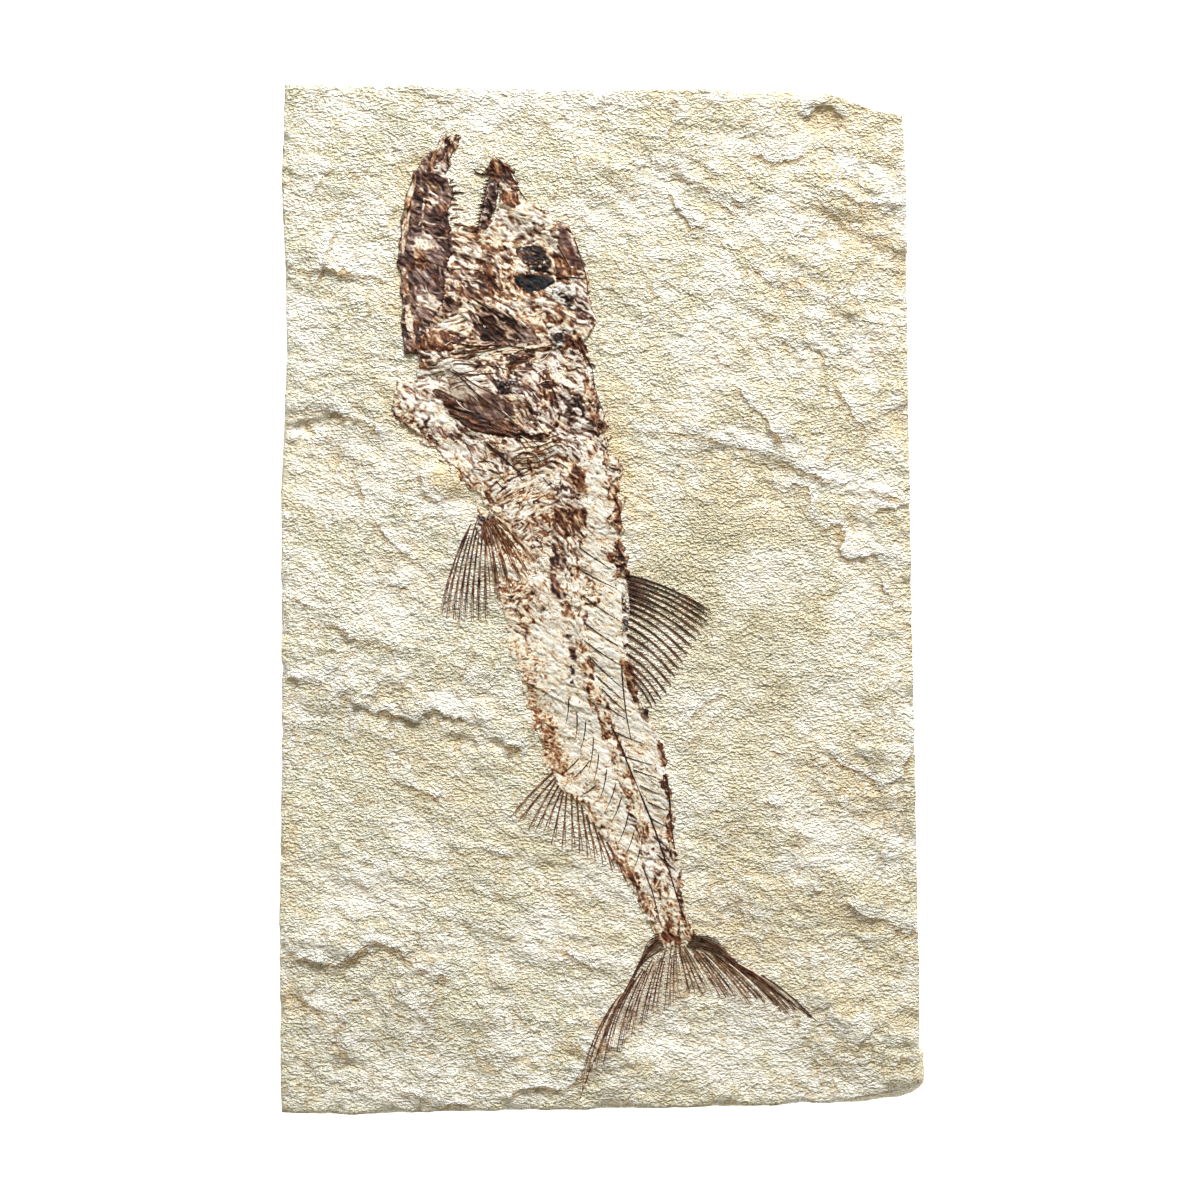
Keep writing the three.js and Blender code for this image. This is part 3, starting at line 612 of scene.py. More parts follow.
def layStroke(look, points, width, rough=0.7, share=1.0, lift=0.0, taper=1.0):
    # lays a look along a line, tapering to its ends
    global paintCount
    paintCount += 1
    area = windowOf(points, width + 1.5)
    x = gridX[area] + rough * warpX[area]
    y = gridY[area] + rough * warpY[area]
    distance, travel, whole = lineDistance(x, y, points)
    along = np.clip(travel / whole, 0.0, 1.0)
    half = 0.5 * width * (1.0 - taper * (2.0 * np.abs(along - 0.5)) ** 3)
    inside = half - np.abs(distance)
    mask = (inside > -0.15) & (fishOwner[area] >= 0)
    if lift:
        groupHeight[area][mask] += (lift * ease(inside / 0.35))[mask]
    paintLook(area, mask, look, 1000 + paintCount * 31, share, groupHeight[area], ease(0.5 + inside / 0.3))


lowerJaw, upperJaw, skull, eyeFilm, gill, shoulder, column, backRow, belly, underRow = range(10)

# The pale body, the vertebrae and what lies over them
layGroup(column, "chalkLines", [
    (-23.5, 21), (-22.3, 17.5), (-21.5, 8), (-21.2, 0), (-19.9, -3.1), (-18.3, -10.3), (-16.4, -16.6), (-14.3, -25),
    (-11.4, -33.4), (-9.9, -36.3), (-8.4, -39.4), (-5.4, -41.6), (-2.9, -45.2), (-0.5, -48.7), (1.2, -51), (2.6, -55),
    (6.8, -59.2), (8.9, -62.8), (10.2, -65.5), (11.2, -68), (11.6, -71.6), (15.5, -73.2), (20.6, -71.3),
    (18.6, -67.8), (17.5, -63.2), (17.2, -59), (16.2, -54), (15.2, -47.9), (15.1, -43.7), (14.3, -36.8), (13.2, -30.7),
    (11.1, -26.3), (8.5, -21.4), (8.2, -19.3), (7.3, -14.3), (6.4, -10.3), (6.2, -4), (6.0, 2.3), (5.8, 5.5),
    (5.3, 7.6), (5.2, 13.4), (4.3, 21.4), (1.5, 26.5), (-10, 26), (-18, 23),
], 0.16, 0.7, 0.12, 0.7)
layPatch("chalk", [(-15.5, -4), (-8, -6), (-7.5, -14), (-6.8, -22), (-5.2, -30), (-3.5, -36), (-8.5, -35), (-12, -26), (-13, -14)])
layPatch("bellyPale", [(-9, -33), (-2, -33), (1, -40), (4.5, -47), (6.5, -54), (3, -53), (-2.5, -45), (-8, -39)], share=0.62)
layPatch("brownFlecks", [(-21.5, 20), (-4, 24), (-3.2, 12), (-10.5, 2), (-15, 3), (-20.5, 12)], share=0.66)
layPatch("wavyFlecks", [(-22, 20), (-10, 22), (-10.5, 14), (-15, 9), (-20.5, 14)], share=0.75)
layPatch("rustDark", [(-9.5, 19.6), (-2.8, 19.2), (-2.6, 13.3), (-7.5, 13.0), (-10.5, 15.5)], share=0.72, lift=0.15)
layPatch("rustMid", [(-14, 19), (-10.5, 18), (-10.8, 13.5), (-14.5, 14)], share=0.6)
layPatch("greyPurple", [(-14.5, 16.5), (-10, 17.5), (-11, 9.5), (-14, 10)], share=0.6)
layPatch("darkBone", [(-11.4, 12.4), (-6.2, 13), (-5.4, 7.3), (-9.6, 6.2)], share=0.66, lift=0.12)
layPatch("darkBone", [(-10.2, 6.8), (-7.2, 6.8), (-7.0, 0.2), (-9.8, 0.8)], share=0.6, lift=0.1)
layPatch("darkBone", [(-16.8, 3.4), (-14.2, 3.2), (-11.2, -1.6), (-12.0, -3.4), (-14.2, -1.4)], share=0.8, lift=0.12)
layPatch("yellowGrain", [(-22.4, 4.2), (-15.5, 4.6), (-13.5, -1), (-15.5, -3.8), (-20.4, -3.2)])
layPatch("rustMid", [(-20.8, 4.6), (-18.6, 4.9), (-18.2, 1.8), (-20.0, 1.6)], share=0.7)
layPatch("brownFlecks", [(-20.2, -1.2), (-12, -1.0), (-12.6, -4.6), (-19.0, -4.4)], share=0.75)
layPatch("rustFlecks", [(-6.8, 6.4), (0.2, 4.6), (0.4, -1), (-4.5, -3.2), (-7.2, 0)], share=0.7)
layPatch("rustMid", [(-8, -0.6), (-4.5, -0.4), (-5, -3.4), (-8, -3.2)], share=0.7)
layPatch("blueBlack", [(-8.3, -7.4), (-6.0, -7.2), (-5.8, -9.2), (-8.0, -9.3)], share=0.85, lift=0.1)
layPatch("darkBone", [(-7.2, -10.3), (-5.9, -10.2), (-4.8, -13.2), (-6.0, -12.8)], share=0.9, lift=0.1)
layPatch("blueBlack", [(-6.8, -14), (-5.2, -14.2), (-5.2, -18.5), (-6.4, -18)], share=0.6)
layPatch("rustMid", [(1.2, 9.6), (3.2, 9.9), (3.4, 7.8), (1.4, 7.6)], 0.5, lift=0.15)
spine = [(-6.6, 12), (-4.9, 2.3), (-3.7, -8.2), (-1.8, -17.6), (1.0, -25), (3.8, -32.3), (6.2, -39.7), (8.4, -47), (10.4, -54.4), (12.9, -61.1), (15.4, -67), (17.0, -70.6)]
layStroke("vertebra", spine, 3.4, 0.9, 0.86, 0.12, 0.2)
layStroke("rustFlecks", spine[3:8], 2.6, 0.9, 0.5, 0.1, 0.2)
layStroke("blueBlack", [(5.0, 6.0), (5.3, 1.0), (5.5, -5.0), (5.0, -11.0)], 1.7, 0.6, 0.65)
layPatch("rustMid", [(-4.6, -12.8), (-1.4, -12.2), (-1.0, -15.2), (-4.4, -15.4)], share=0.75)
layPatch("greyPurple", [(3.2, -42), (8, -43), (9.5, -49), (5.5, -47.5)], share=0.5)
layPatch("pinkFlecks", [(7.5, -50), (14.5, -49), (16.6, -60), (11, -60)], share=0.5)
layPatch("stalk", [(-6.2, -40.6), (-3.8, -41.4), (3.6, -50.5), (8.8, -58.8), (12.6, -70.8), (11, -70), (7.6, -61.2), (1.8, -52.4), (-4.6, -43.4)])
layPatch("stalk", [(10.8, -62), (14, -66), (19.6, -70.8), (15.5, -73.5), (11.6, -71.6)], share=0.8)
layPatch("rustDark", [(2.6, -53.4), (6.4, -55.6), (9, -58.4), (8.2, -61.4), (5.6, -58.8)], share=0.55, lift=0.1)
layPatch("stalk", [(10.4, -66), (13, -66), (19, -66), (21, -71.5), (15.5, -74), (11, -72)])
layPatch("rustMid", [(11.2, -68), (19.6, -68), (20.8, -71.3), (15.5, -73.6), (11.4, -71.8)], share=0.55)
layPatch("greyPurple", [(12.4, -49), (15.4, -48.4), (17, -57), (16.4, -62), (13.5, -55)], share=0.6)

# The belly's grains
layGroup(belly, "bellyPale", [
    (-20.0, -3.0), (-18.4, -10.3), (-16.6, -16.6), (-14.5, -25), (-11.7, -33.4), (-10, -36.6), (-6.2, -37.4),
    (-6.6, -33.8), (-9.2, -27.1), (-11.6, -20.8), (-12.6, -12.4), (-13.6, -8.2), (-15.8, -3.5),
], 0.2, 1.1, 0.1, 1.0)
layPatch("bellyGrain", [
    (-17.4, -14), (-16.6, -18), (-14.5, -26), (-11.6, -33.4), (-10, -36.6), (-6.2, -37.2),
    (-6.9, -33.0), (-9.8, -27.1), (-12.4, -22.0), (-14.0, -15),
], 1.2, 0.9, only=belly)
layPatch("rustMid", [(-13.2, -25), (-10.5, -25.4), (-7.6, -33), (-7.2, -37), (-9.6, -36.4), (-12, -31)], 1.2, 0.45, only=belly)
layPatch("crumbs", [(-19, -4), (-15.2, -5), (-14.2, -10), (-17.6, -10)], share=0.6, only=belly)

# The row under the tail stalk
layGroup(underRow, "stalk", [
    (2.6, -51.8), (4.4, -52.6), (7.4, -58.2), (9.7, -62.2), (11.4, -65.4), (12.4, -69.4), (11.0, -69.8), (9.6, -66.2),
    (7.9, -62.8), (5.6, -59.2), (3.2, -55.6),
], 0.3, 0.8, 0.15, 0.6)
layPatch("rustMid", [(3.2, -53.2), (5.6, -55.4), (9.6, -62.2), (11.4, -68), (9.6, -64.8), (5.0, -57.4)], share=0.6, only=underRow)

# The crushed shoulder
layGroup(shoulder, "brownFlecks", [
    (-37.8, 34.6), (-34.5, 31.4), (-32.4, 29.0), (-27.5, 24.5), (-24.0, 20.5), (-22.6, 18.2), (-18, 19.4), (-12, 20.5),
    (-6, 22), (-1, 22.4), (2.6, 24.5), (1.6, 29.5), (0.6, 34), (0.9, 37.5), (-10, 38.5), (-25, 38.5), (-36, 37.5),
], 0.34, 1.3, 0.3, 0.8)
layPatch("pinkFlecks", [(-37, 35.5), (-28, 36), (-24.5, 31), (-24.6, 25.5), (-28, 25.5), (-34.5, 32)])
layPatch("chalkLines", [(-35.5, 33), (-31, 33.5), (-26.5, 27), (-27.5, 25)], share=0.5)
layPatch("rustFlecks", [(-32, 28.8), (-27.4, 27.5), (-22, 21), (-23.4, 19.6), (-27.6, 24)], share=0.8)
layPatch("wavyFlecks", [(-25, 26), (-16, 28), (-8.5, 27), (-8, 21), (-16, 20.5), (-21.5, 20)])
layPatch("goldFibre", [(-18.6, 31.2), (-11.5, 31.4), (-9.5, 26), (-13.5, 24.6), (-17.2, 27.4)], share=0.75)
layPatch("rustMid", [(-17.4, 29.6), (-12, 29.0), (-12.2, 26.4), (-15.6, 26.8)], share=0.6)
layPatch("blueGrey", [(-18, 36), (-14.2, 36.4), (-13.6, 33.6), (-17.6, 34)], share=0.85)
layPatch("rustDark", [(-6.6, 27.8), (-3.4, 27.6), (-1.6, 23.8), (-4.2, 23.0)], share=0.8, lift=0.15)
layPatch("greyPurple", [(-9.8, 26), (-7, 27), (-6.2, 21.6), (-10, 21.4)], share=0.7)
layPatch("chalkLines", [(-3, 30), (0.5, 31), (3.4, 23.6), (1, 20), (-2.6, 22)], share=0.85)

layGroup(shoulder, "greyPurple", [(-25.8, 19.2), (-26.2, 15.4), (-25.4, 12.4), (-23.4, 11.4), (-21.6, 17.8)], 0.24, 0.5, 0.06, 0.5)
layPatch("blueBlack", [(-25.8, 18.0), (-25.8, 14.0), (-23.6, 12.4), (-22.0, 15.2), (-22.6, 18.2)], 0.5, 0.85)
layPatch("rustFlecks", [(-24.2, 18.2), (-19.6, 17.2), (-13.8, 8.6), (-15.6, 4.4), (-20.2, 6.4), (-23.6, 11)], 0.9, 0.85)

# The crushed gill plates
layGroup(gill, "greyPurple", [
    (-39.0, 52.0), (-38.2, 50.0), (-38.9, 48.0), (-38.2, 46.4), (-40.2, 45.6), (-41.8, 45.4), (-44.0, 42.4), (-42.6, 39.5), (-40.4, 37.0), (-38.2, 34.8), (-34, 34.0),
    (-27, 33.8), (-20, 34.2), (-13, 34.5), (-7, 34.4), (-1.4, 34.2), (0.8, 37.0), (-0.4, 40.8), (-2.4, 45.8), (-3.4, 50.8),
    (-4.6, 55), (-15, 56), (-28, 55.5), (-38, 55),
], 0.45, 1.3, 0.4, 0.7)
layPatch("whiteFibre", [(-38.6, 50), (-33, 50.8), (-26, 49.4), (-22.6, 44.6), (-27.4, 43), (-34, 45), (-38.4, 44.6)])
layPatch("goldFibre", [(-33, 52.8), (-20, 54), (-12, 53.4), (-10.5, 50.4), (-18, 49.2), (-30, 50.4)], share=0.9)
layPatch("darkFibre", [(-21.6, 52.6), (-14.4, 53.2), (-13.8, 50.6), (-20.8, 50.2)], share=0.75, lift=0.12)
layPatch("chalkLines", [(-36.6, 48.6), (-31.6, 49), (-31, 43.6), (-35, 43.0)], share=0.8)
layPatch("tanPlate", [(-32.0, 46.2), (-27.6, 46.8), (-22.6, 43.4), (-22.6, 40.4), (-27.8, 41.4), (-31.6, 42.8)], 0.5, lift=0.25)
layPatch("mauvePlate", [(-28.2, 42.8), (-21.6, 43.2), (-17.0, 39.6), (-21.0, 37.6), (-27.0, 39.0)], 0.6, lift=0.15)
layPatch("blueBlack", [(-22.4, 46.0), (-17.4, 47.2), (-16.2, 44.2), (-20.6, 43.4)], share=0.8, lift=0.15)
layPatch("pinkFlecks", [(-43.6, 42.6), (-40, 45.6), (-37, 44.6), (-34.8, 41), (-37.4, 36), (-40.8, 38)])
layPatch("yellowGrain", [(-43.4, 42.2), (-41.4, 42.8), (-37.6, 36.8), (-38.8, 35.4), (-41.6, 38.6)], share=0.55)
layPatch("olive", [(-10.4, 41.6), (-3.6, 42.6), (-2.6, 38.8), (-9.2, 38.4)], share=0.72, lift=0.1)
layPatch("darkBone", [(-7.4, 48.4), (-5.2, 48.2), (-4.6, 44.8), (-6.8, 45.2)], share=0.85, lift=0.1)
layPatch("rustMid", [(-3.6, 47.4), (-1.9, 46.2), (0.3, 38.2), (-1.2, 37.2), (-3.4, 42.4)], 0.6, 0.85, 0.12)
layPatch("rustDark", [(-13.2, 44.6), (-9.8, 43.8), (-9.6, 40.8), (-12.2, 41.6)], share=0.8, lift=0.1)
layPatch("chalkLines", [(-6.8, 52), (-4.4, 51.4), (-3.4, 46.4), (-6, 43.6), (-8.4, 47)], share=0.5)
layStroke("darkFibre", [(-34.4, 43.6), (-31.0, 41.0), (-27.4, 37.8), (-22.4, 36.1), (-17.4, 35.6), (-12.6, 34.8), (-9.4, 36.8)], 3.4, 0.5, 1.0, 0.2, 0.55)
layPatch("chalk", [(-37.6, 41.2), (-34.8, 41.6), (-29.6, 37.2), (-30.6, 35.6), (-34.4, 36.6)], 0.7)
layPatch("brownFlecks", [(-18, 42.6), (-11, 42.4), (-9, 35.4), (-14, 34.2), (-18.6, 37)], share=0.7)
layPatch("rustMid", [(-39.2, 50.4), (-36.4, 50.2), (-36.6, 48.2), (-39.0, 48.4)], 0.6, 0.9, 0.15)

# The skull and the cheek
layGroup(skull, "crumbs", [
    (-31.2, 77.5), (-27.5, 79.0), (-25.0, 78.6), (-22.0, 80.4), (-20.6, 84.0), (-21.5, 88.8), (-19.2, 89.2), (-17.6, 87.2),
    (-16.2, 84.2), (-13.9, 83.2), (-11.3, 81.0), (-9.1, 79.3), (-6.7, 78.6), (-5.3, 75.8), (-4.0, 71.6), (-3.1, 69.0),
    (-2.3, 65.9), (-1.9, 62.4), (-1.3, 59.6), (-1.5, 56.8), (-3.4, 54.6), (-6, 53.2), (-14, 52.2), (-25, 52.4), (-33.5, 52.2),
    (-39.6, 52.4), (-39.8, 57), (-35.5, 63), (-34.4, 68.5), (-33.0, 73.5),
], 0.75, 1.0, 0.35)
layPatch("pinkWhite", [(-23.2, 83.6), (-20.6, 84.8), (-17.2, 84.4), (-14, 82.6), (-11, 79), (-14, 76.4), (-20, 77.6), (-24.2, 78.6)])
layPatch("pinkWhite", [(-14.6, 82.8), (-11.4, 80.6), (-7.2, 78.0), (-8.6, 74.0), (-11.8, 76.6)], share=0.8)
layPatch("rustDark", [(-21.3, 86.2), (-17.6, 86.0), (-16.4, 83.6), (-18.6, 82.4), (-21.3, 83.8)], share=0.85, lift=0.15)
layPatch("crumbs", [(-21.6, 88.6), (-18.8, 88.4), (-17.8, 86.8), (-21.6, 86.4)], 0.6)
layPatch("crumbsDark", [(-28.6, 70), (-24.5, 72), (-21.4, 73), (-17.2, 72.5), (-15.6, 68), (-17, 62), (-24, 63), (-29.5, 64)])
layPatch("rustFlecks", [(-21.4, 71.4), (-17.6, 71.6), (-16.2, 66), (-17.4, 62.4), (-20.2, 63), (-21.6, 66.6)], share=0.85)
layStroke("rustDark", [(-25.6, 71.6), (-23.6, 69.4), (-22.6, 66.6), (-23.4, 63.6), (-25.2, 61.8)], 1.7, 0.7, 0.9, 0.1)
layStroke("rustMid", [(-24.8, 74.2), (-20.8, 73.8), (-18.2, 72.6)], 1.2, 0.7, 0.7, 0.05)
layPatch("rustFlecks", [(-13.4, 75.4), (-10.6, 74.8), (-11.2, 72.8), (-14.2, 73.6)], share=0.8)
layPatch("mauvePlate", [(-8.6, 79.2), (-6.1, 76.1), (-4.3, 73.2), (-3.3, 69.4), (-5.6, 69.0), (-8.4, 71.4), (-9.2, 74.4), (-8.8, 77.0)], 0.8, lift=0.2)
layPatch("rustDark", [(-9.8, 73.6), (-7.8, 71.8), (-5.0, 69.0), (-3.4, 68.0), (-9.4, 67.8), (-10.2, 70.2)], 0.4, lift=0.05)
layStroke("pinkWhite", [(-10.4, 75.6), (-8.6, 73.2), (-6.6, 70.8), (-5.0, 69.2)], 0.5, 0.4, 0.8, 0.06)
layPatch("blueGrey", [(-10.6, 66.4), (-6.6, 66.6), (-3.2, 64.4), (-3.0, 60.4), (-6.4, 60.6), (-9.6, 63.2)], share=0.95)
layPatch("greyPurple", [(-5, 66.8), (-2.6, 66), (-1.5, 58.6), (-2.2, 56.4), (-5, 57.4), (-5.8, 62)], share=0.9)
layPatch("rustMid", [(-10.9, 61.2), (-8.8, 61.4), (-7.4, 58.8), (-8.4, 57.4), (-11.4, 58.6)], 0.5, lift=0.15)
layPatch("blueGrey", [(-11.2, 57.8), (-7.6, 57.6), (-6.4, 56), (-10.8, 55.6)], 0.7, 0.9)
layPatch("blueBlack", [(-10.4, 56.0), (-7.0, 56.2), (-6.4, 53.4), (-9.6, 52.8)], 0.7, 0.9)
layPatch("rustDark", [(-7.2, 55.4), (-4.6, 55.2), (-4.4, 52.4), (-8, 52.2)], 0.7, 0.7)
layPatch("rustMid", [(-16.6, 66.0), (-11.6, 66.2), (-12.0, 63.4), (-15.8, 63.8)], 0.7, 0.8)
layPatch("crumbs", [(-17.6, 63.6), (-12, 63), (-9.4, 60.6), (-11.6, 57.2), (-16.4, 59.4)], share=0.75)
layPatch("opercle", [(-24.8, 62.6), (-20.4, 62.0), (-14.4, 57.4), (-13.0, 53.2), (-21, 52.6), (-26.2, 54.4), (-27.4, 58.2)], lift=0.15)
layPatch("mauvePlate", [(-17.6, 57.0), (-14.4, 57.0), (-13.0, 54.2), (-16.6, 53.8)], 0.5, 0.95, 0.1)
layStroke("pinkWhite", [(-26.6, 65.2), (-22.4, 62.4), (-18.4, 60.0), (-14.4, 56.4)], 1.1, 0.4, 1.0, 0.18)
layPatch("crumbsDark", [(-31.6, 64), (-26.8, 63.2), (-26.4, 57), (-29, 53.2), (-33.5, 53.6), (-33.4, 60)], share=0.85)
layPatch("opercle", [(-34.6, 63.2), (-30.2, 64.2), (-28.8, 61.6), (-31.6, 58.6), (-34.8, 59.8)], share=0.6)
layPatch("rustDark", [(-37.9, 56.4), (-32.8, 56.6), (-30.0, 53.4), (-31.6, 51.8), (-37.6, 52.2)], share=0.8, lift=0.15)
layPatch("goldFibre", [(-31, 53.8), (-22, 53.4), (-10, 53.8), (-10.6, 52), (-30, 52)], share=0.8)
layPatch("whiteFibre", [(-35, 60.6), (-30, 59.6), (-26.6, 56.4), (-29, 55.6), (-34.6, 58)], share=0.6)

# The snout
layGroup(upperJaw, "darkBone", [
    (-22.3, 93.2), (-20.4, 91.8), (-18.6, 90.2), (-17.2, 87.6), (-17.0, 86.4), (-18.6, 87.2), (-20.8, 88.6), (-21.6, 87.2),
    (-21.9, 84.2), (-22.5, 81.4), (-23.2, 79.0), (-24.2, 77.9), (-25.8, 77.8), (-25.2, 79.8), (-24.6, 82.8),
    (-24.0, 85.8), (-23.2, 88.6), (-23.8, 90.2), (-22.9, 91.4),
], 0.75, 0.35, 0.15)
layPatch("rustDark", [(-22.4, 93.3), (-19.6, 91.4), (-18.6, 90.0), (-20.6, 89.4), (-23.8, 89.4), (-23.6, 90.8)], 0.5, 1.0, 0.1, upperJaw)
layPatch("crumbsDark", [(-20.6, 91.6), (-18.2, 89.4), (-16.8, 86.4), (-18.4, 87.2), (-20.2, 89.0)], 0.5, 0.8, 0.0, upperJaw)
layPatch("blueBlack", [(-23.2, 88.6), (-21.7, 88.2), (-21.6, 85.2), (-23.0, 80.4), (-25.4, 78), (-25, 80.6)], 0.4, 0.4, 0.0, upperJaw)

# The lower jaw
layGroup(lowerJaw, "darkBone", [
    (-29.8, 97.6), (-31.8, 98.0), (-33.8, 96.2), (-35.4, 94.0), (-37.4, 92.6), (-39.0, 89.8), (-40.1, 86.6), (-41.0, 82.0),
    (-41.5, 78.8), (-42.1, 74.6), (-42.2, 72.0), (-41.9, 68.8), (-41.9, 65.6), (-41.6, 61.0), (-41.3, 56.2), (-40.9, 51.6),
    (-38.6, 51.4), (-38.0, 54), (-36.4, 58), (-33.2, 61.5), (-32.6, 65.2), (-33.0, 69.0), (-31.2, 73.8), (-31.6, 77.2),
    (-31.6, 81.2), (-31.0, 84.4), (-31.4, 87.0), (-32.3, 88.9), (-32.2, 91.2), (-31.4, 93.8), (-29.9, 95.4), (-29.1, 97.2),
], 0.75, 0.6, 0.3)
layPatch("jawTip", [(-29.6, 97.8), (-32, 98.2), (-34.4, 95.4), (-34.8, 92.4), (-32.4, 91.2), (-30, 94.8)], 0.6)
layPatch("rustFlecks", [(-31.4, 95.4), (-29.0, 96.2), (-29.8, 93.6), (-31.6, 92.8)], 0.6, 0.7)
layPatch("greyPurple", [(-34.6, 92.4), (-32.4, 91.8), (-32.4, 88.6), (-34.4, 88.4), (-35.2, 90.4)], 0.6, 0.9)
layStroke("jawTan", [(-33.0, 96.6), (-34.8, 93.8), (-35.4, 90.8), (-35.2, 89.0)], 1.0, 0.3, 1.0, 0.12)
layPatch("greyPurple", [(-38.4, 86.4), (-34.4, 87.4), (-33.2, 83.6), (-35.6, 82.0), (-38.2, 83.8)], 0.8, 0.5)
layPatch("jawFine", [(-39.6, 81.0), (-33.0, 81.6), (-32.2, 74.8), (-32.8, 68.8), (-33.2, 64), (-38.8, 62), (-39.8, 72)])
layPatch("darkBone", [(-38.6, 72.4), (-35.6, 74), (-32.4, 73), (-33.6, 69.6), (-38.6, 69.8)], share=0.35)
layPatch("chalk", [(-38.6, 76.0), (-36.8, 76.4), (-34.4, 74.4), (-36.6, 73.6), (-38.6, 74.2)], 0.7)
layStroke("pinkWhite", [(-37.4, 79.2), (-36.6, 77.2), (-34.6, 75.8), (-31.8, 76.2)], 0.6, 0.5, 0.8)
layStroke("pinkWhite", [(-36.9, 84.4), (-37.2, 80.4), (-38.0, 78.4)], 0.5, 0.5, 0.8)
layPatch("rustMid", [(-39.2, 73.8), (-36.8, 73.4), (-36.2, 71.2), (-38.8, 70.6)], 0.6, 0.95, 0.08)
layPatch("rustDark", [(-40.0, 70.8), (-36.2, 71.4), (-35.2, 69.8), (-39.8, 69.2)], 0.6, 0.6)
layPatch("jawFine", [(-38.8, 66), (-33.4, 66), (-33.0, 62), (-36.0, 58.6), (-38.8, 59)])
layPatch("chalkLines", [(-38.4, 65.4), (-36.2, 65.0), (-32.8, 62.4), (-33.8, 61.2), (-38.2, 62.6)], 0.8, 0.6)
layStroke("pinkWhite", [(-38.6, 64.6), (-35.8, 63.2), (-33.4, 61.6)], 0.6, 0.4, 0.9)
layStroke("pinkWhite", [(-38.6, 62.0), (-36.0, 61.4), (-33.8, 60.6)], 0.55, 0.4, 0.9)
layStroke("jawTan", [(-38.6, 89.2), (-39.8, 85.4), (-40.6, 80.6), (-41.0, 76.6), (-41.4, 72.4)], 1.3, 0.2, 1.0, 0.05, 0.8)
layStroke("pinkWhite", [(-40.9, 69.6), (-40.8, 65.0), (-40.4, 60.0), (-39.8, 55.4)], 1.3, 0.5, 0.62, 0.0, 0.6)
layStroke("crumbsDark", [(-40.2, 62), (-39.6, 57), (-38.8, 53.6)], 1.5, 0.5, 0.8)
layPatch("darkBone", [(-41.0, 53.8), (-38.8, 54.0), (-38.4, 51.6), (-40.8, 51.6)], 0.4, 1.0, 0.1)

# The eye's film, in two parts
layGroup(eyeFilm, "olive", [
    (-17.4, 73.4), (-15.2, 74.0), (-13.2, 74.4), (-11.4, 72.8), (-10.4, 70.6), (-10.2, 68.8), (-12.0, 69.2), (-14.8, 69.6), (-16.0, 71.0),
], 0.75, 0.25, 0.1, 0.12)
layPatch("darkBone", [(-17.6, 73.2), (-15.0, 73.6), (-14.2, 71.6), (-16.6, 71.0)], 0.4, 0.9, 0.0, eyeFilm)
layPatch("film", [(-13.6, 74.4), (-12.0, 73.6), (-11.4, 71.8), (-13.2, 72.6)], 0.3, 1.0, 0.0, eyeFilm)
layGroup(eyeFilm, "film", [
    (-17.6, 67.2), (-16.4, 68.1), (-13.5, 67.9), (-11.6, 68.1), (-9.8, 67.0), (-11.4, 65.9), (-12.8, 65.1), (-15.2, 65.2), (-16.6, 66.1),
], 0.8, 0.2, 0.08, 0.1)
layPatch("chalk", [(-17.9, 71.2), (-16.4, 71.4), (-15.2, 69.4), (-16.2, 68.6), (-17.8, 69.0)], 0.4, 1.0, 0.1)
layStroke("pinkWhite", [(-13.6, 75.0), (-11.4, 74.0), (-10.0, 71.4), (-9.6, 68.4), (-9.4, 66.8)], 0.75, 0.3, 1.0, 0.12, 0.5)

# The row of lumps along the back
backPath = [
    (-4.6, 54.6), (-3.2, 51.4), (-1.9, 47.2), (-1.5, 42.4), (0.4, 37.8), (0.2, 35.4), (1.2, 32.6), (1.4, 30.0), (2.4, 26.6),
    (3.4, 22.0), (2.6, 18.8), (4.4, 14.6), (3.8, 11.6), (4.7, 8.0), (4.9, 5.2),
]
rearPath = [(5.6, -14.0), (7.0, -18.6), (8.2, -21.6), (10.4, -26.4), (12.6, -30.8), (13.8, -36.8), (14.6, -43.7), (14.8, -47.9), (15.8, -54), (16.8, -59), (17.2, -63.2), (18.2, -67.8), (19.8, -70.6)]


def alongPath(path, offset):
    moved = []
    for i, (x, y) in enumerate(path):
        ax, ay = path[max(0, i - 1)]
        bx, by = path[min(len(path) - 1, i + 1)]
        length = math.hypot(bx - ax, by - ay)
        moved.append((x - (by - ay) / length * offset, y + (bx - ax) / length * offset))
    return moved


layGroup(backRow, "ridge", alongPath(backPath, 1.1) + alongPath(backPath, -0.9)[::-1], 0.5, 1.7, 0.4, 0.7, False)
layPatch("greyPurple", [(-3.4, 34), (3, 31), (4.2, 24.6), (1.8, 24.2), (-0.4, 30)], 1.0, 0.45, 0.0, backRow)
layGroup(backRow, "ridge", alongPath(rearPath, 0.5) + alongPath(rearPath, -0.45)[::-1], 0.3, 0.9, 0.15, 0.4, False)
layPatch("rustDark", [(4.4, -12.4), (6.8, -12.8), (8.6, -20), (7.0, -19.8), (5.0, -16)], 0.6, 0.9, 0.15)
layPatch("chalkLines", [(5.0, -21), (12.6, -29), (14.2, -40), (12.6, -38), (9.4, -28)], 0.8, 0.25, 0.0, backRow)
print("relief shaped")


def softened(values, reach):
    # mean over a square neighbourhood
    total = np.zeros(values.shape)
    padded = np.pad(values, reach, mode="edge")
    for i in range(2 * reach + 1):
        total += padded[i:i + values.shape[0], reach:reach + values.shape[1]]
    padded = np.pad(total, reach, mode="edge")
    total = np.zeros(values.shape)
    for i in range(2 * reach + 1):
        total += padded[reach:reach + values.shape[0], i:i + values.shape[1]]
    return total / (2 * reach + 1) ** 2


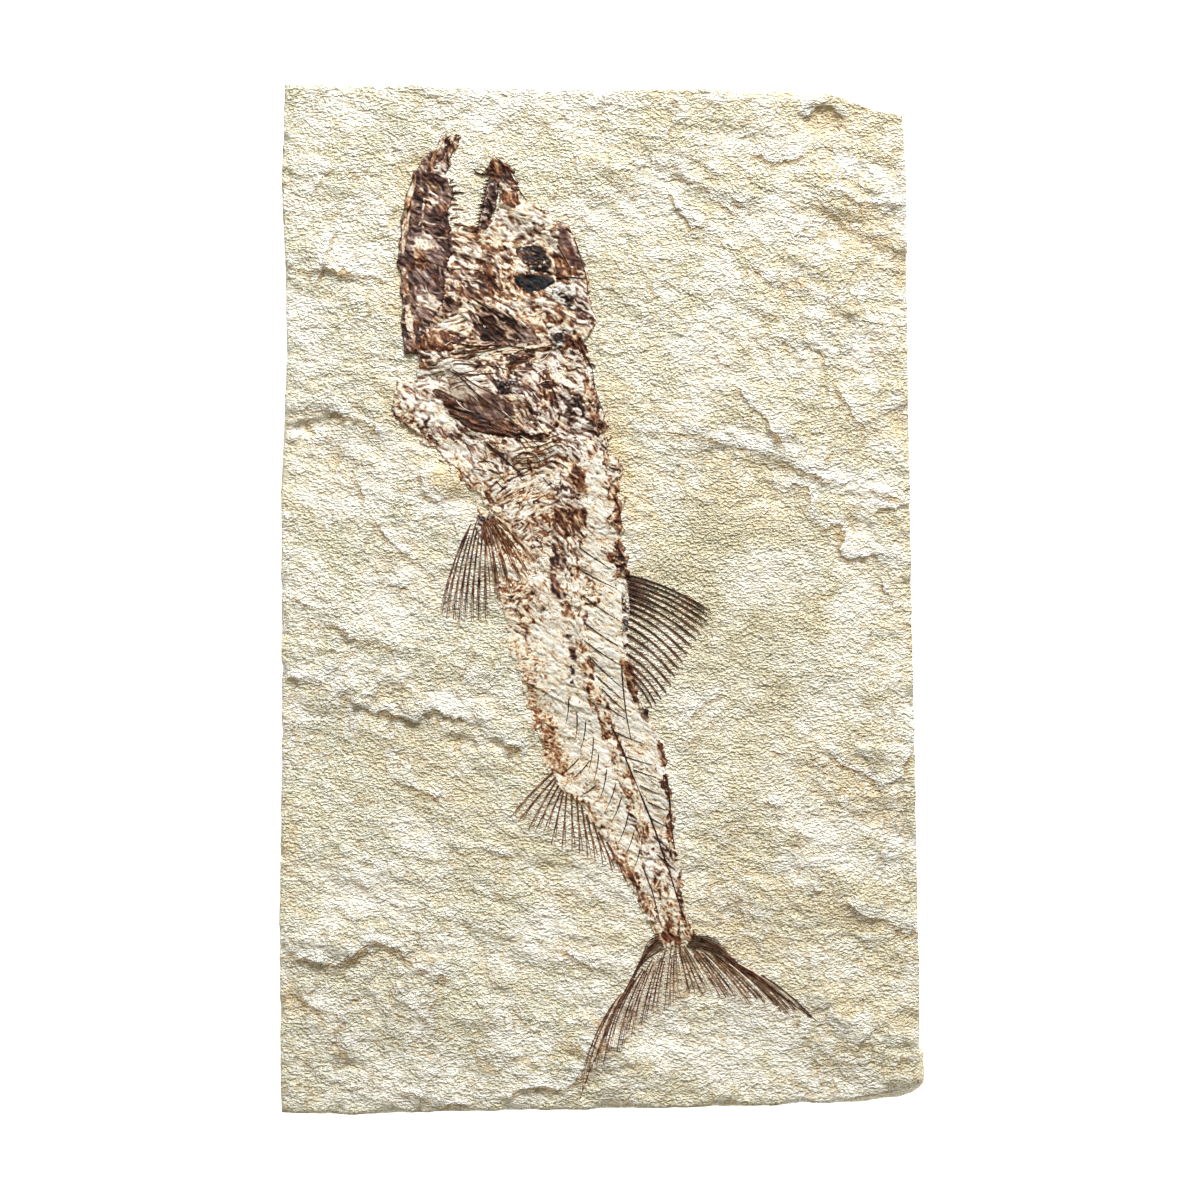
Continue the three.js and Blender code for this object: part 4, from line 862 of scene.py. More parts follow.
def paintReliefShading():
    # raised edges are painted pale as a painted highlight and the gaps between flakes dark as painted shade
    covered = fishOwner >= 0
    rise = np.where(covered, fishRise, 0.0)
    curve = rise - softened(rise, 2)
    tone = shades["tone"]
    # painted highlight where the relief bulges, painted shade where it dips
    tone += np.where(curve > 0, 0.9, 1.5) * curve
    tone += 0.05 * roughNoise(gridX, gridY, 2.2, 631, 2)
    np.clip(tone, 0.0, 1.0, out=tone)
    fishRise[covered] = rise[covered]


paintReliefShading()
surfaceZ = stoneZ + fishRise


# The plate -------------------------------------------------------------------------------

# How far each edge of the plate stands in from its box, in mm, along the edge from 0 to 1.
edgeInsets = {
    "top": [(0.0, 0.1), (0.18, 0.0), (0.31, 0.7), (0.57, 1.1), (0.82, 1.1), (0.885, 1.9), (0.955, 5.2), (1.0, 6.4)],
    "bottom": [(0.0, 0.7), (0.1, 0.1), (0.2, 0.7), (0.5, 1.5), (0.76, 2.2), (0.88, 3.1), (0.95, 4.6), (0.985, 5.3), (1.0, 6.9)],
    "left": [(0.0, 0.3), (0.15, 0.0), (0.38, 0.5), (0.62, 0.3), (0.735, 1.5), (0.83, 1.2), (0.9, 0.4), (1.0, 1.1)],
    "right": [(0.0, 0.1), (0.1, 0.1), (0.3, 1.0), (0.54, 1.9), (0.77, 2.7), (0.92, 2.8), (1.0, 3.7)],
}


def edgeInset(side, share):
    shares, insets = zip(*edgeInsets[side])
    return np.interp(share, shares, insets)


def plateOutline(u, v):
    # a point of the plate's face from its shares across and up
    left = stoneLow[0] + edgeInset("left", v) + 0.12 * softNoise(v * 217, v * 0, 2.6, 401)
    right = stoneHigh[0] - edgeInset("right", v) + 0.10 * softNoise(v * 217, v * 0, 2.6, 403)
    low = stoneLow[1] + edgeInset("bottom", u) + 0.10 * softNoise(u * 135, u * 0, 2.6, 405)
    high = stoneHigh[1] - edgeInset("top", u) + 0.10 * softNoise(u * 135, u * 0, 2.6, 407)
    return left + (right - left) * u, low + (high - low) * v


def makeMesh(name, vertices, faces, attributes=None):
    mesh = bpy.data.meshes.new(name)
    mesh.from_pydata([], [], [])
    vertices = np.asarray(vertices, float) * mm
    faces = [tuple(int(i) for i in face) for face in faces] if not isinstance(faces, np.ndarray) else faces
    if isinstance(faces, np.ndarray):
        count, corners = faces.shape
        mesh.vertices.add(len(vertices))
        mesh.vertices.foreach_set("co", vertices.astype(np.float32).ravel())
        mesh.loops.add(count * corners)
        mesh.loops.foreach_set("vertex_index", faces.astype(np.int32).ravel())
        mesh.polygons.add(count)
        mesh.polygons.foreach_set("loop_start", np.arange(0, count * corners, corners, dtype=np.int32))
        mesh.polygons.foreach_set("loop_total", np.full(count, corners, dtype=np.int32))
        mesh.update(calc_edges=True)
        mesh.validate()
    else:
        mesh.clear_geometry()
        mesh.from_pydata([tuple(v) for v in vertices], [], faces)
    for key, values in (attributes or {}).items():
        layer = mesh.attributes.new(key, "FLOAT", "POINT")
        layer.data.foreach_set("value", np.asarray(values, np.float32))
    mesh.shade_smooth()
    piece = bpy.data.objects.new(name, mesh)
    scene.collection.objects.link(piece)
    return piece


def makePlate():
    step = stone["gridStep"]
    columns = int(round((stoneHigh[0] - stoneLow[0]) / step)) + 1
    rows = int(round((stoneHigh[1] - stoneLow[1]) / step)) + 1
    u, v = np.meshgrid(np.linspace(0, 1, columns), np.linspace(0, 1, rows))
    x, y = plateOutline(u, v)
    z, marks = stoneTop(x, y)
    # small chips along the upper edge
    fromEdge = np.minimum(np.minimum(x - x[:, :1], x[:, -1:] - x), np.minimum(y - y[:1], y[-1:] - y))
    chip = ease(0.2 + 1.2 * roughNoise(x, y, 5.0, 431, 3))
    z = z - (0.25 + 1.1 * chip) * np.exp(-fromEdge / (0.5 + 0.9 * chip))
    top = np.column_stack([x.ravel(), y.ravel(), z.ravel()])
    index = np.arange(rows * columns).reshape(rows, columns)
    quads = np.stack([index[:-1, :-1], index[:-1, 1:], index[1:, 1:], index[1:, :-1]], -1).reshape(-1, 4)

    # the border, anticlockwise from the lower left corner
    border = np.concatenate([index[0, :-1], index[:-1, -1], index[-1, :0:-1], index[:0:-1, 0]])
    rim = top[border]
    middle = rim - np.roll(rim, 1, axis=0)
    ahead = np.roll(rim, -1, axis=0) - np.roll(rim, 1, axis=0)
    outward = np.column_stack([ahead[:, 1], -ahead[:, 0]])
    outward /= np.linalg.norm(outward, axis=1)[:, None]
    travel = np.cumsum(np.linalg.norm(middle[:, :2], axis=1))
    nearCorner = ease((rim[:, 0] - 38.0) / 20.0) * (rim[:, 1] < -95.0)
    sides = stone["sideRows"]
    rings = [border]
    vertices = [top]
    faces = [quads]
    for row in range(1, sides + 1):
        share = row / sides
        level = rim[:, 2] * (1.0 - share)
        depth = rim[:, 2] - level
        bed = roughNoise(travel, depth * 6.0, 9.0, 443, 3, 0.6)
        shell = roughNoise(travel, depth * 1.5, 5.0, 447, 4, 0.55)
        push = stone["sideRough"] * (0.8 * bed + 0.8 * shell) * ease(share * 3.0)
        push = push - stone["footInset"] * share + 2.0 * nearCorner * ease(share * 1.6)
        push = push - 0.5 * ease((share - 0.86) / 0.14)
        ring = np.column_stack([rim[:, :2] + outward * push[:, None], level])
        if row == sides:
            ring[:, 2] = 0.0
        ringIndex = np.arange(len(rim)) + rows * columns + (row - 1) * len(rim)
        last = rings[-1]
        faces.append(np.stack([last, ringIndex, np.roll(ringIndex, -1), np.roll(last, -1)], -1))
        rings.append(ringIndex)
        vertices.append(ring)
    foot = vertices[-1]
    vertices = np.concatenate(vertices)
    faces = np.concatenate(faces)

    # the underside: points inside the foot, joined up with it
    rng = np.random.default_rng(5)
    insideX, insideY = np.meshgrid(np.arange(-62, 63, 3.4), np.arange(-101, 101, 3.4))
    inner = np.column_stack([insideX.ravel(), insideY.ravel()]) + rng.uniform(-0.9, 0.9, (insideX.size, 2))
    points = [Vector(p) for p in np.concatenate([foot[:, :2], inner])]
    ring = len(foot)
    edges = [(i, (i + 1) % ring) for i in range(ring)]
    flat, _, triangles, _, _, _ = delaunay_2d_cdt(points, edges, [list(range(ring))], 1, 1e-4)
    under = np.array([[p[0], p[1], 0.0] for p in flat])
    deep = under[ring:]
    under[ring:, 2] = 0.25 + 0.22 * roughNoise(deep[:, 0], deep[:, 1], 14.0, 457, 3)
    shift = len(vertices) - ring
    allVertices = np.concatenate([vertices, under[ring:]])
    allFaces = [tuple(f) for f in faces.tolist()]
    allFaces += [tuple(i + shift for i in reversed(t)) for t in triangles]
    return allVertices, allFaces, marks, rows * columns


plateVertices, plateFaces, faceMarks, faceCount = makePlate()
print("plate shaped")


def padded(values, count):
    out = np.zeros(count)
    out[:len(values)] = values
    return out


# Outlines of the fins' brown skin on the stone with its strength, and lines along which the
# stone is stained warm.
finSkins = [
    ([(12.2, -70.5), (9.3, -73.6), (7.2, -77.7), (4.4, -83.0), (1.5, -88.6), (-0.8, -94.7), (-2.9, -99.5), (-4.4, -104.8),
      (-1.6, -101.5), (1.4, -97.3), (4.7, -94.0), (7.5, -91.2), (11.9, -87.4), (15.6, -84.2), (18.8, -83.0), (23.6, -83.4),
      (29.9, -84.9), (38.5, -86.8), (46.6, -89.2), (42.7, -86.0), (37.9, -82.5), (32.9, -79.0), (28.0, -75.3), (24.3, -72.1), (20.2, -70.4)], 0.42),
    ([(-0.5, -88), (4.5, -83), (7.5, -86.5), (4.5, -93), (1.4, -97), (-1.2, -96)], 0.62),
    ([(20.2, -70.4), (28, -75.3), (37.9, -82.5), (45, -88), (36, -84.4), (27, -79), (19, -74)], 0.6),
    ([(12.2, -70.5), (7.2, -77.7), (1.5, -88.6), (-3.4, -102), (1, -95), (6, -86), (11, -76)], 0.45),
    ([(-26.8, 17.5), (-28.6, 8), (-30.6, 1), (-33.2, -3.6), (-24, -4.2), (-21, 0), (-20.4, 12), (-22, 18)], 0.22),
    ([(5.0, 6), (23.6, -3), (11, -22.5), (5.6, -17)], 0.14),
    ([(-9.6, -36), (-18.8, -45.8), (-10.6, -50.8), (5.6, -59.0), (1.6, -50.6), (-6, -40)], 0.16),
]
# Whiter and yellower places on the stone: middle, radii, turn in degrees and strength.
paleZones = [
    (-31, 19, 9, 4, -20, 1.0), (-38, 30, 7, 5, -50, 0.8), (-47, 33, 9, 5, 10, 0.7), (-50, -61, 14, 6, -20, 0.8),
    (-48, -15, 13, 4, -12, 0.7), (-31, -21.5, 7, 2.2, -20, 1.0), (22, -22, 5, 3, 30, 0.7), (18, -20, 5, 2, 0, 0.6),
    (54.7, 90.5, 9, 3, -15, 1.0), (28.4, 82.4, 5, 0.8, -36, 1.0), (44, 71, 8, 2.4, 35, 0.7), (56, 50, 7, 6, 0, 0.7), (60, 60, 5, 10, 0, 0.5), (45, -47, 8, 5, -35, 0.7), (48, -54, 7, 4, -35, 0.6),
    (34, 33, 12, 3, -12, 0.9), (54, 24, 10, 4, -12, 0.9), (42, -58, 6, 3, -20, 0.7), (30, 96, 10, 3, 0, 0.6),
    (-20, -75, 12, 5, -10, 0.6), (-60, 48, 5, 14, 0, 0.4), (62, -20, 3, 30, 0, 0.5), (-62, 96, 4, 10, 0, 0.4),
    (10, -88, 14, 6, 0, 0.5), (50, -78, 10, 3, -20, 0.6), (-8, -69, 9, 4, -25, 0.7),
]
ochreZones = [
    (-32.6, 24.8, 4.6, 3.4, -14, 1.0), (-30.6, 26.6, 2.4, 1.4, -40, 1.0), (5.5, 28, 3.0, 8.0, 10, 0.7), (4.5, 36, 4.0, 4.0, 0, 0.5), (52, 100, 5, 3, 0, 0.5),
    (-65, -52, 1.6, 9, 0, 0.5), (-65, -84, 1.4, 5, 0, 0.5), (8.5, 22, 3, 5, 0, 0.6), (45.7, 0.6, 2.0, 0.8, -10, 0.6), (48.0, -3.3, 2.4, 0.9, 30, 0.6),
    (52.0, -66.5, 9.0, 1.8, -18, 0.5),
]
haloLines = [
    [(2.5, 42), (2.6, 30), (6.0, 20), (6.4, 8)],
    [(-38.0, 92.5), (-41.8, 82.0), (-42.9, 72.0), (-42.4, 60.0)],
    [(-38.5, 45.5), (-44.5, 42.0), (-38.8, 34.6), (-31.5, 27.8), (-24.4, 19.0)],
]


def plateAttributes():
    x, y, z = plateVertices.T
    warm = ease(0.5 + (x - 12.0) / 70.0 + 0.25 * roughNoise(x, y, 24.0, 501, 3))
    tan = ease(1.25 - np.hypot((x - 27.0) / 30.0, (y - 2.0) / 40.0)) * ease(0.65 + 0.5 * roughNoise(x, y, 9.0, 505, 3))
    side = padded(np.zeros(faceCount), len(x))
    side[faceCount:] = 1.0
    near = (x > -46) & (x < 52) & (y > -108) & (y < 101) & (z > bedTop - 3.0)
    fx = (x + 0.7 * roughNoise(x, y, 3.0, 511, 3))[near]
    fy = (y + 0.7 * roughNoise(x, y, 3.0, 513, 3))[near]
    skin = np.zeros(len(x))
    for outline, strength in finSkins:
        distance = patchDistance(fx, fy, outline)
        skin[near] = np.maximum(skin[near], strength * ease(0.5 + distance / 0.9))
    halo = np.zeros(len(x))
    reach = np.full(fx.shape, 99.0)
    for outline in haloLines:
        distance, _, _ = lineDistance(fx, fy, outline)
        reach = np.minimum(reach, np.abs(distance))
    halo[near] = ease(1.0 - reach / 6.5) * ease(0.75 + 0.6 * roughNoise(fx, fy, 6.0, 517, 2))
    pale = np.zeros(len(x))
    ochre = np.zeros(len(x))
    for target, zones in ((pale, paleZones), (ochre, ochreZones)):
        for middleX, middleY, wide, tall, turn, strength in zones:
            c, si = math.cos(math.radians(turn)), math.sin(math.radians(turn))
            u = ((x - middleX) * c + (y - middleY) * si) / wide
            v = (-(x - middleX) * si + (y - middleY) * c) / tall
            target[:] = np.maximum(target, strength * ease(1.4 - np.hypot(u, v) + 0.35 * roughNoise(x, y, 4.0, 521, 3)))
    return {
        "pale": pale,
        "ochre": ochre,
        "skin": skin,
        "halo": halo,
        "warm": warm,
        "tan": tan,
        "side": side,
        **{key: padded(values.ravel(), len(x)) for key, values in faceMarks.items()},
    }


plate = makeMesh("limestone_slab", plateVertices, plateFaces, plateAttributes())
print("plate made", len(plate.data.polygons))


# Materials ---------------------------------------------------------------------------------

def linear(red, green, blue):
    # a colour written as display values from 0 to 255
    def one(value):
        value /= 255.0
        return value / 12.92 if value <= 0.04045 else ((value + 0.055) / 1.055) ** 2.4
    return (one(red), one(green), one(blue), 1.0)


class Nodes:
    def __init__(self, tree):
        self.tree = tree

    def add(self, kind, **settings):
        node = self.tree.nodes.new(kind)
        for key, value in settings.items():
            if isinstance(value, tuple) and key == "inputs":
                continue
            setattr(node, key, value)
        return node

    def link(self, source, target):
        self.tree.links.new(source, target)


def attribute(tree, name):
    node = tree.nodes.new("ShaderNodeAttribute")
    node.attribute_name = name
    return node.outputs["Fac"]


def mixColor(tree, share, first, second):
    node = tree.nodes.new("ShaderNodeMix")
    node.data_type = "RGBA"
    for socket, value in ((node.inputs[0], share), (node.inputs[6], first), (node.inputs[7], second)):
        if isinstance(value, bpy.types.NodeSocket):
            tree.links.new(value, socket)
        else:
            socket.default_value = value
    return node.outputs[2]


def math2(tree, operation, first, second, clamp=False):
    node = tree.nodes.new("ShaderNodeMath")
    node.operation = operation
    node.use_clamp = clamp
    for socket, value in zip(node.inputs, (first, second)):
        if isinstance(value, bpy.types.NodeSocket):
            tree.links.new(value, socket)
        else:
            socket.default_value = value
    return node.outputs[0]


def makeGroup(name, inputs, outputs):
    group = bpy.data.node_groups.new(name, "ShaderNodeTree")
    for label, kind, value in inputs:
        socket = group.interface.new_socket(label, in_out="INPUT", socket_type=kind)
        if value is not None:
            socket.default_value = value
    for label, kind in outputs:
        group.interface.new_socket(label, in_out="OUTPUT", socket_type=kind)
    start = group.nodes.new("NodeGroupInput")
    end = group.nodes.new("NodeGroupOutput")
    return group, start, end


def useGroup(tree, group, **values):
    node = tree.nodes.new("ShaderNodeGroup")
    node.node_tree = group
    for key, value in values.items():
        socket = node.inputs[key.replace("_", " ")]
        if isinstance(value, bpy.types.NodeSocket):
            tree.links.new(value, socket)
        else:
            socket.default_value = value
    return node


def noiseNode(tree, vector, scale, detail, roughness=0.55, distortion=0.0):
    node = tree.nodes.new("ShaderNodeTexNoise")
    for label, value in (("Scale", scale), ("Detail", detail), ("Roughness", roughness), ("Distortion", distortion)):
        if isinstance(value, bpy.types.NodeSocket):
            tree.links.new(value, node.inputs[label])
        else:
            node.inputs[label].default_value = value
    tree.links.new(vector, node.inputs["Vector"])
    return node.outputs["Fac"]


def rangeNode(tree, value, low, high, toLow=0.0, toHigh=1.0):
    node = tree.nodes.new("ShaderNodeMapRange")
    node.interpolation_type = "SMOOTHSTEP"
    tree.links.new(value, node.inputs["Value"])
    node.inputs["From Min"].default_value = low
    node.inputs["From Max"].default_value = high
    node.inputs["To Min"].default_value = toLow
    node.inputs["To Max"].default_value = toHigh
    return node.outputs["Result"]


def makeGrainGroup():
    # fine split grain: a height in mm for bumps and a mask of its pits, which the stone tints tan as stain and painted
    # shade
    group, start, end = makeGroup(
        "splitGrain",
        [("Grain Scale", "NodeSocketFloat", 1700.0), ("Stretch", "NodeSocketFloat", 0.7)],
        [("Height", "NodeSocketFloat"), ("PitTanAndShade", "NodeSocketFloat"), ("Lumps", "NodeSocketFloat")],
    )
    place = group.nodes.new("ShaderNodeTexCoord")
    squeeze = group.nodes.new("ShaderNodeCombineXYZ")
    group.links.new(start.outputs["Stretch"], squeeze.inputs["X"])
    squeeze.inputs["Y"].default_value = 1.0
    squeeze.inputs["Z"].default_value = 1.0
    scaled = group.nodes.new("ShaderNodeVectorMath")
    scaled.operation = "MULTIPLY"
    group.links.new(place.outputs["Object"], scaled.inputs[0])
    group.links.new(squeeze.outputs["Vector"], scaled.inputs[1])
    fine = noiseNode(group, scaled.outputs["Vector"], start.outputs["Grain Scale"], 1.0, 0.6, 0.0)
    dashes = rangeNode(group, fine, 0.3, 0.7)
    coarse = noiseNode(group, scaled.outputs["Vector"], 420.0, 3.0, 0.62, 0.0)
    height = math2(group, "ADD", math2(group, "MULTIPLY", dashes, 0.42), math2(group, "MULTIPLY", coarse, 1.1))
    group.links.new(height, end.inputs["Height"])
    group.links.new(rangeNode(group, fine, 0.52, 0.34), end.inputs["PitTanAndShade"])
    torn = noiseNode(group, scaled.outputs["Vector"], 300.0, 5.0, 0.62, 0.3)
    group.links.new(rangeNode(group, torn, 0.36, 0.64), end.inputs["Lumps"])
    return group


def makeEdgeGroup():
    # ragged edges of the split beds, worked out from how far a point is through a bed: a height in mm for bumps, a
    # painted highlight above each edge and painted shade below it
    group, start, end = makeGroup(
        "bedEdges",
        [("Through", "NodeSocketFloat", 0.0), ("Ragged", "NodeSocketFloat", 0.5), ("Share", "NodeSocketFloat", 0.0)],
        [("Height", "NodeSocketFloat"), ("LipHighlight", "NodeSocketFloat"), ("FootShade", "NodeSocketFloat")],
    )
    shift = math2(group, "MULTIPLY", math2(group, "SUBTRACT", start.outputs["Ragged"], 0.5), 0.3)
    through = math2(group, "ADD", start.outputs["Through"], shift)
    part = math2(group, "FRACT", through, 0.0)
    step = math2(group, "FLOOR", through, 0.0)
    share = start.outputs["Share"]
    group.links.new(math2(group, "MULTIPLY", step, share), end.inputs["Height"])
    group.links.new(math2(group, "MULTIPLY", rangeNode(group, part, 0.22, 0.0), share), end.inputs["LipHighlight"])
    group.links.new(math2(group, "MULTIPLY", rangeNode(group, part, 0.8, 1.0), share), end.inputs["FootShade"])
    return group


grainGroup = makeGrainGroup()
edgeGroup = makeEdgeGroup()


def makeStoneMaterial():
    material = bpy.data.materials.new("splitLimestone")
    material.use_nodes = True
    tree = material.node_tree
    shader = tree.nodes["Principled BSDF"]
    place = tree.nodes.new("ShaderNodeTexCoord")
    grain = useGroup(tree, grainGroup, Grain_Scale=2000.0, Stretch=0.74)
    ragged = noiseNode(tree, place.outputs["Object"], 700.0, 3.0, 0.6)
    share = attribute(tree, "splitShare")
    wide = useGroup(tree, edgeGroup, Through=attribute(tree, "splitWide"), Ragged=ragged, Share=share)
    narrow = useGroup(tree, edgeGroup, Through=attribute(tree, "splitFine"), Ragged=ragged, Share=share)
    cloud = noiseNode(tree, place.outputs["Object"], 60.0, 4.0, 0.6)
    speck = noiseNode(tree, place.outputs["Object"], 420.0, 3.0, 0.6)
    crest = attribute(tree, "crest")
    gap = math2(tree, "ADD", attribute(tree, "crestGap"), math2(tree, "MULTIPLY", math2(tree, "SUBTRACT", ragged, 0.5), 1.6))

    # mixes in a tint, used both for real stains and for painted highlights and painted shade
    def stainAndPaintedLight(color, share, strength, tint):
        return mixColor(tree, math2(tree, "MULTIPLY", share, strength), color, linear(*tint))

    color = mixColor(tree, attribute(tree, "warm"), linear(243, 241, 222), linear(244, 236, 210))
    powder = math2(tree, "MAXIMUM", math2(tree, "MULTIPLY", rangeNode(tree, cloud, 0.46, 0.62), 0.6), attribute(tree, "pale"))
    firm = math2(tree, "SUBTRACT", 1.0, math2(tree, "MULTIPLY", powder, 0.55))
    color = stainAndPaintedLight(color, rangeNode(tree, cloud, 0.46, 0.6), 1.0, (254, 253, 245))
    color = stainAndPaintedLight(color, attribute(tree, "tan"), 0.7, (236, 226, 194))
    color = stainAndPaintedLight(color, math2(tree, "MULTIPLY", rangeNode(tree, attribute(tree, "splitWide"), -0.7, -1.6), share), 0.55, (236, 216, 180))
    color = stainAndPaintedLight(color, attribute(tree, "pale"), 0.9, (255, 254, 250))
    # tan in the grain's pits: partly a stain, partly painted shade
    color = stainAndPaintedLight(color, math2(tree, "MULTIPLY", grain.outputs["PitTanAndShade"], firm), 0.8, (198, 184, 142))
    color = stainAndPaintedLight(color, rangeNode(tree, speck, 0.6, 0.75), 0.3, (222, 208, 170))
    # tan on bare ledge faces, bed risers, hollows and low chips: partly fresh-break colour, partly painted shade
    color = stainAndPaintedLight(color, attribute(tree, "hollow"), 0.6, (230, 205, 162))
    color = stainAndPaintedLight(color, attribute(tree, "halo"), 0.45, (240, 218, 172))
    color = stainAndPaintedLight(color, attribute(tree, "ochre"), 0.65, (232, 205, 152))
    # painted highlight above each bed edge and painted tan shade below it
    for edge, strength in ((wide, 0.9), (narrow, 0.6)):
        color = stainAndPaintedLight(color, edge.outputs["LipHighlight"], strength, (255, 254, 250))
        color = stainAndPaintedLight(color, edge.outputs["FootShade"], strength, (196, 170, 126))
    # painted highlight in a band above each ledge crest and painted shade just under it
    crestHighlight = math2(tree, "MULTIPLY", math2(tree, "MULTIPLY", rangeNode(tree, gap, 3.4, 0.3), rangeNode(tree, gap, -0.1, 0.1)), crest)
    foot = math2(tree, "MULTIPLY", math2(tree, "MULTIPLY", rangeNode(tree, gap, -1.3, -0.1), rangeNode(tree, gap, 0.1, 0.0)), crest)
    color = stainAndPaintedLight(color, crestHighlight, 0.8, (255, 254, 250))
    color = stainAndPaintedLight(color, foot, 0.8, (186, 158, 114))
    color = stainAndPaintedLight(color, math2(tree, "MULTIPLY", attribute(tree, "skin"), rangeNode(tree, speck, 0.3, 0.62, 0.25, 1.0)), 1.0, (150, 116, 86))
    color = stainAndPaintedLight(color, attribute(tree, "side"), 0.5, (205, 186, 148))
    shader.inputs["Roughness"].default_value = 0.93
    shader.inputs["Specular IOR Level"].default_value = 0.2

    lumps = grain.outputs["Lumps"]
    # tan in the low parts of the lumps as painted shade and white on their tops as painted highlight
    color = stainAndPaintedLight(color, math2(tree, "MULTIPLY", rangeNode(tree, lumps, 0.35, 0.0), share), 0.4, (228, 206, 164))
    color = stainAndPaintedLight(color, math2(tree, "MULTIPLY", rangeNode(tree, lumps, 0.6, 1.0), share), 0.6, (255, 254, 249))
    tree.links.new(color, shader.inputs["Base Color"])

    # heights in mm
    height = math2(tree, "MULTIPLY", grain.outputs["Height"], math2(tree, "ADD", firm, math2(tree, "MULTIPLY", attribute(tree, "tan"), 0.6)))
    height = math2(tree, "ADD", height, math2(tree, "MULTIPLY", wide.outputs["Height"], 0.75))
    height = math2(tree, "ADD", height, math2(tree, "MULTIPLY", narrow.outputs["Height"], 0.42))
    height = math2(tree, "ADD", height, math2(tree, "MULTIPLY", math2(tree, "MULTIPLY", lumps, share), 0.7))
    drop = math2(tree, "MULTIPLY", rangeNode(tree, gap, -0.08, 0.08), crest)
    height = math2(tree, "ADD", height, math2(tree, "MULTIPLY", drop, 0.3))
    bump = tree.nodes.new("ShaderNodeBump")
    bump.inputs["Strength"].default_value = 1.0
    bump.inputs["Distance"].default_value = 0.001
    tree.links.new(height, bump.inputs["Height"])
    tree.links.new(bump.outputs["Normal"], shader.inputs["Normal"])
    return material


plate.data.materials.append(makeStoneMaterial())
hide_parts("limestone")
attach(plate, "root")
print("stone finished")


# Cutting the groups out of the relief -----------------------------------------------------

def tidyOwners():
    # loose cells go to whichever group surrounds them
    global fishOwner
    numbers = range(-1, int(fishOwner.max()) + 1)
    votes = np.stack([softened((fishOwner == number).astype(float), 1) for number in numbers])
    best = votes.argmax(axis=0) - 1
    fishOwner = np.where(votes.max(axis=0) > 0.5, best, fishOwner)
    fishOwner[:2] = fishOwner[-2:] = -1
    fishOwner[:, :2] = fishOwner[:, -2:] = -1
    for _ in range(4):
        for number in numbers[1:]:
            cell = fishOwner == number
            a, b, c, d = cell[:-1, :-1], cell[:-1, 1:], cell[1:, :-1], cell[1:, 1:]
            fishOwner[:-1, 1:][a & d & ~b & ~c] = number
            fishOwner[:-1, :-1][b & c & ~a & ~d] = number


tidyOwners()
fishRise[fishOwner < 0] = relief["sink"]
surfaceZ = stoneZ + fishRise
visibleZ = np.maximum(stoneZ, surfaceZ)


def surfaceAt(x, y):
    # the height of whatever lies on top at a point
    x, y = np.asarray(x, float), np.asarray(y, float)
    column = (x - relief["left"]) / relief["step"]
    row = (y - relief["low"]) / relief["step"]
    inside = (column > 0) & (row > 0) & (column < gridX.shape[1] - 2) & (row < gridX.shape[0] - 2)
    column = np.clip(column, 0, gridX.shape[1] - 2.001)
    row = np.clip(row, 0, gridX.shape[0] - 2.001)
    i, j = column.astype(int), row.astype(int)
    fu, fv = column - i, row - j
    low = visibleZ[j, i] * (1 - fu) + visibleZ[j, i + 1] * fu
    high = visibleZ[j + 1, i] * (1 - fu) + visibleZ[j + 1, i + 1] * fu
    onGrid = low * (1 - fv) + high * fv
    if inside.all():
        return onGrid
    return np.where(inside, onGrid, stoneTop(x, y)[0])


def cutPiece(name, number):
    cell = (fishOwner == number)[:-1, :-1]
    rows, columns = gridX.shape
    index = np.arange(rows * columns).reshape(rows, columns)
    j, i = np.nonzero(cell)
    quads = np.stack([index[j, i], index[j, i + 1], index[j + 1, i + 1], index[j + 1, i]], -1)
    padded = np.pad(cell, 1)
    edges = []
    for stepJ, stepI, start, end in ((-1, 0, 0, 1), (0, 1, 1, 2), (1, 0, 2, 3), (0, -1, 3, 0)):
        bare = ~padded[j + 1 + stepJ, i + 1 + stepI]
        edges.append(np.stack([quads[bare, start], quads[bare, end]], -1))
    edges = np.concatenate(edges)
    used = np.unique(quads)
    place = np.full(rows * columns, -1)
    place[used] = np.arange(len(used))
    rim = np.unique(edges)
    under = np.full(rows * columns, -1)
    under[rim] = len(used) + np.arange(len(rim))
    flatX, flatY, flatZ = gridX.ravel(), gridY.ravel(), surfaceZ.ravel()
    floorZ = bedTop - relief["depth"]
    top = np.column_stack([flatX[used], flatY[used], flatZ[used]])
    bottom = np.column_stack([flatX[rim], flatY[rim], np.full(len(rim), floorZ)])
    walls = np.stack([place[edges[:, 0]], under[edges[:, 0]], under[edges[:, 1]], place[edges[:, 1]]], -1)
    rimPlace = np.full(rows * columns, -1)
    rimPlace[rim] = np.arange(len(rim))
    flat, _, triangles, _, _, _ = delaunay_2d_cdt(
        [Vector((x, y)) for x, y in bottom[:, :2]], rimPlace[edges].tolist(), [], 0, 1e-5,
    )
    triangles = np.array([t for t in triangles if len(t) == 3])
    flat = np.array([[p[0], p[1]] for p in flat])
    centre = flat[triangles].mean(axis=1)
    inI = ((centre[:, 0] - relief["left"]) / relief["step"]).astype(int)
    inJ = ((centre[:, 1] - relief["low"]) / relief["step"]).astype(int)
    triangles = triangles[cell[inJ, inI]]
    faces = [tuple(f) for f in place[quads].tolist()] + [tuple(f) for f in walls.tolist()]
    faces += [tuple(f) for f in (triangles[:, ::-1] + len(used)).tolist()]
    values = {}
    for key, shade in shades.items():
        flatShade = shade.ravel()
        values[key] = np.concatenate([flatShade[used], flatShade[rim]])
    piece = makeMesh(name, np.concatenate([top, bottom]), faces, values)
    piece.data.set_sharp_from_angle(angle=math.radians(62))
    return piece


# Thin bones, rays and teeth as ribbons lying on the surface ------------------------------------

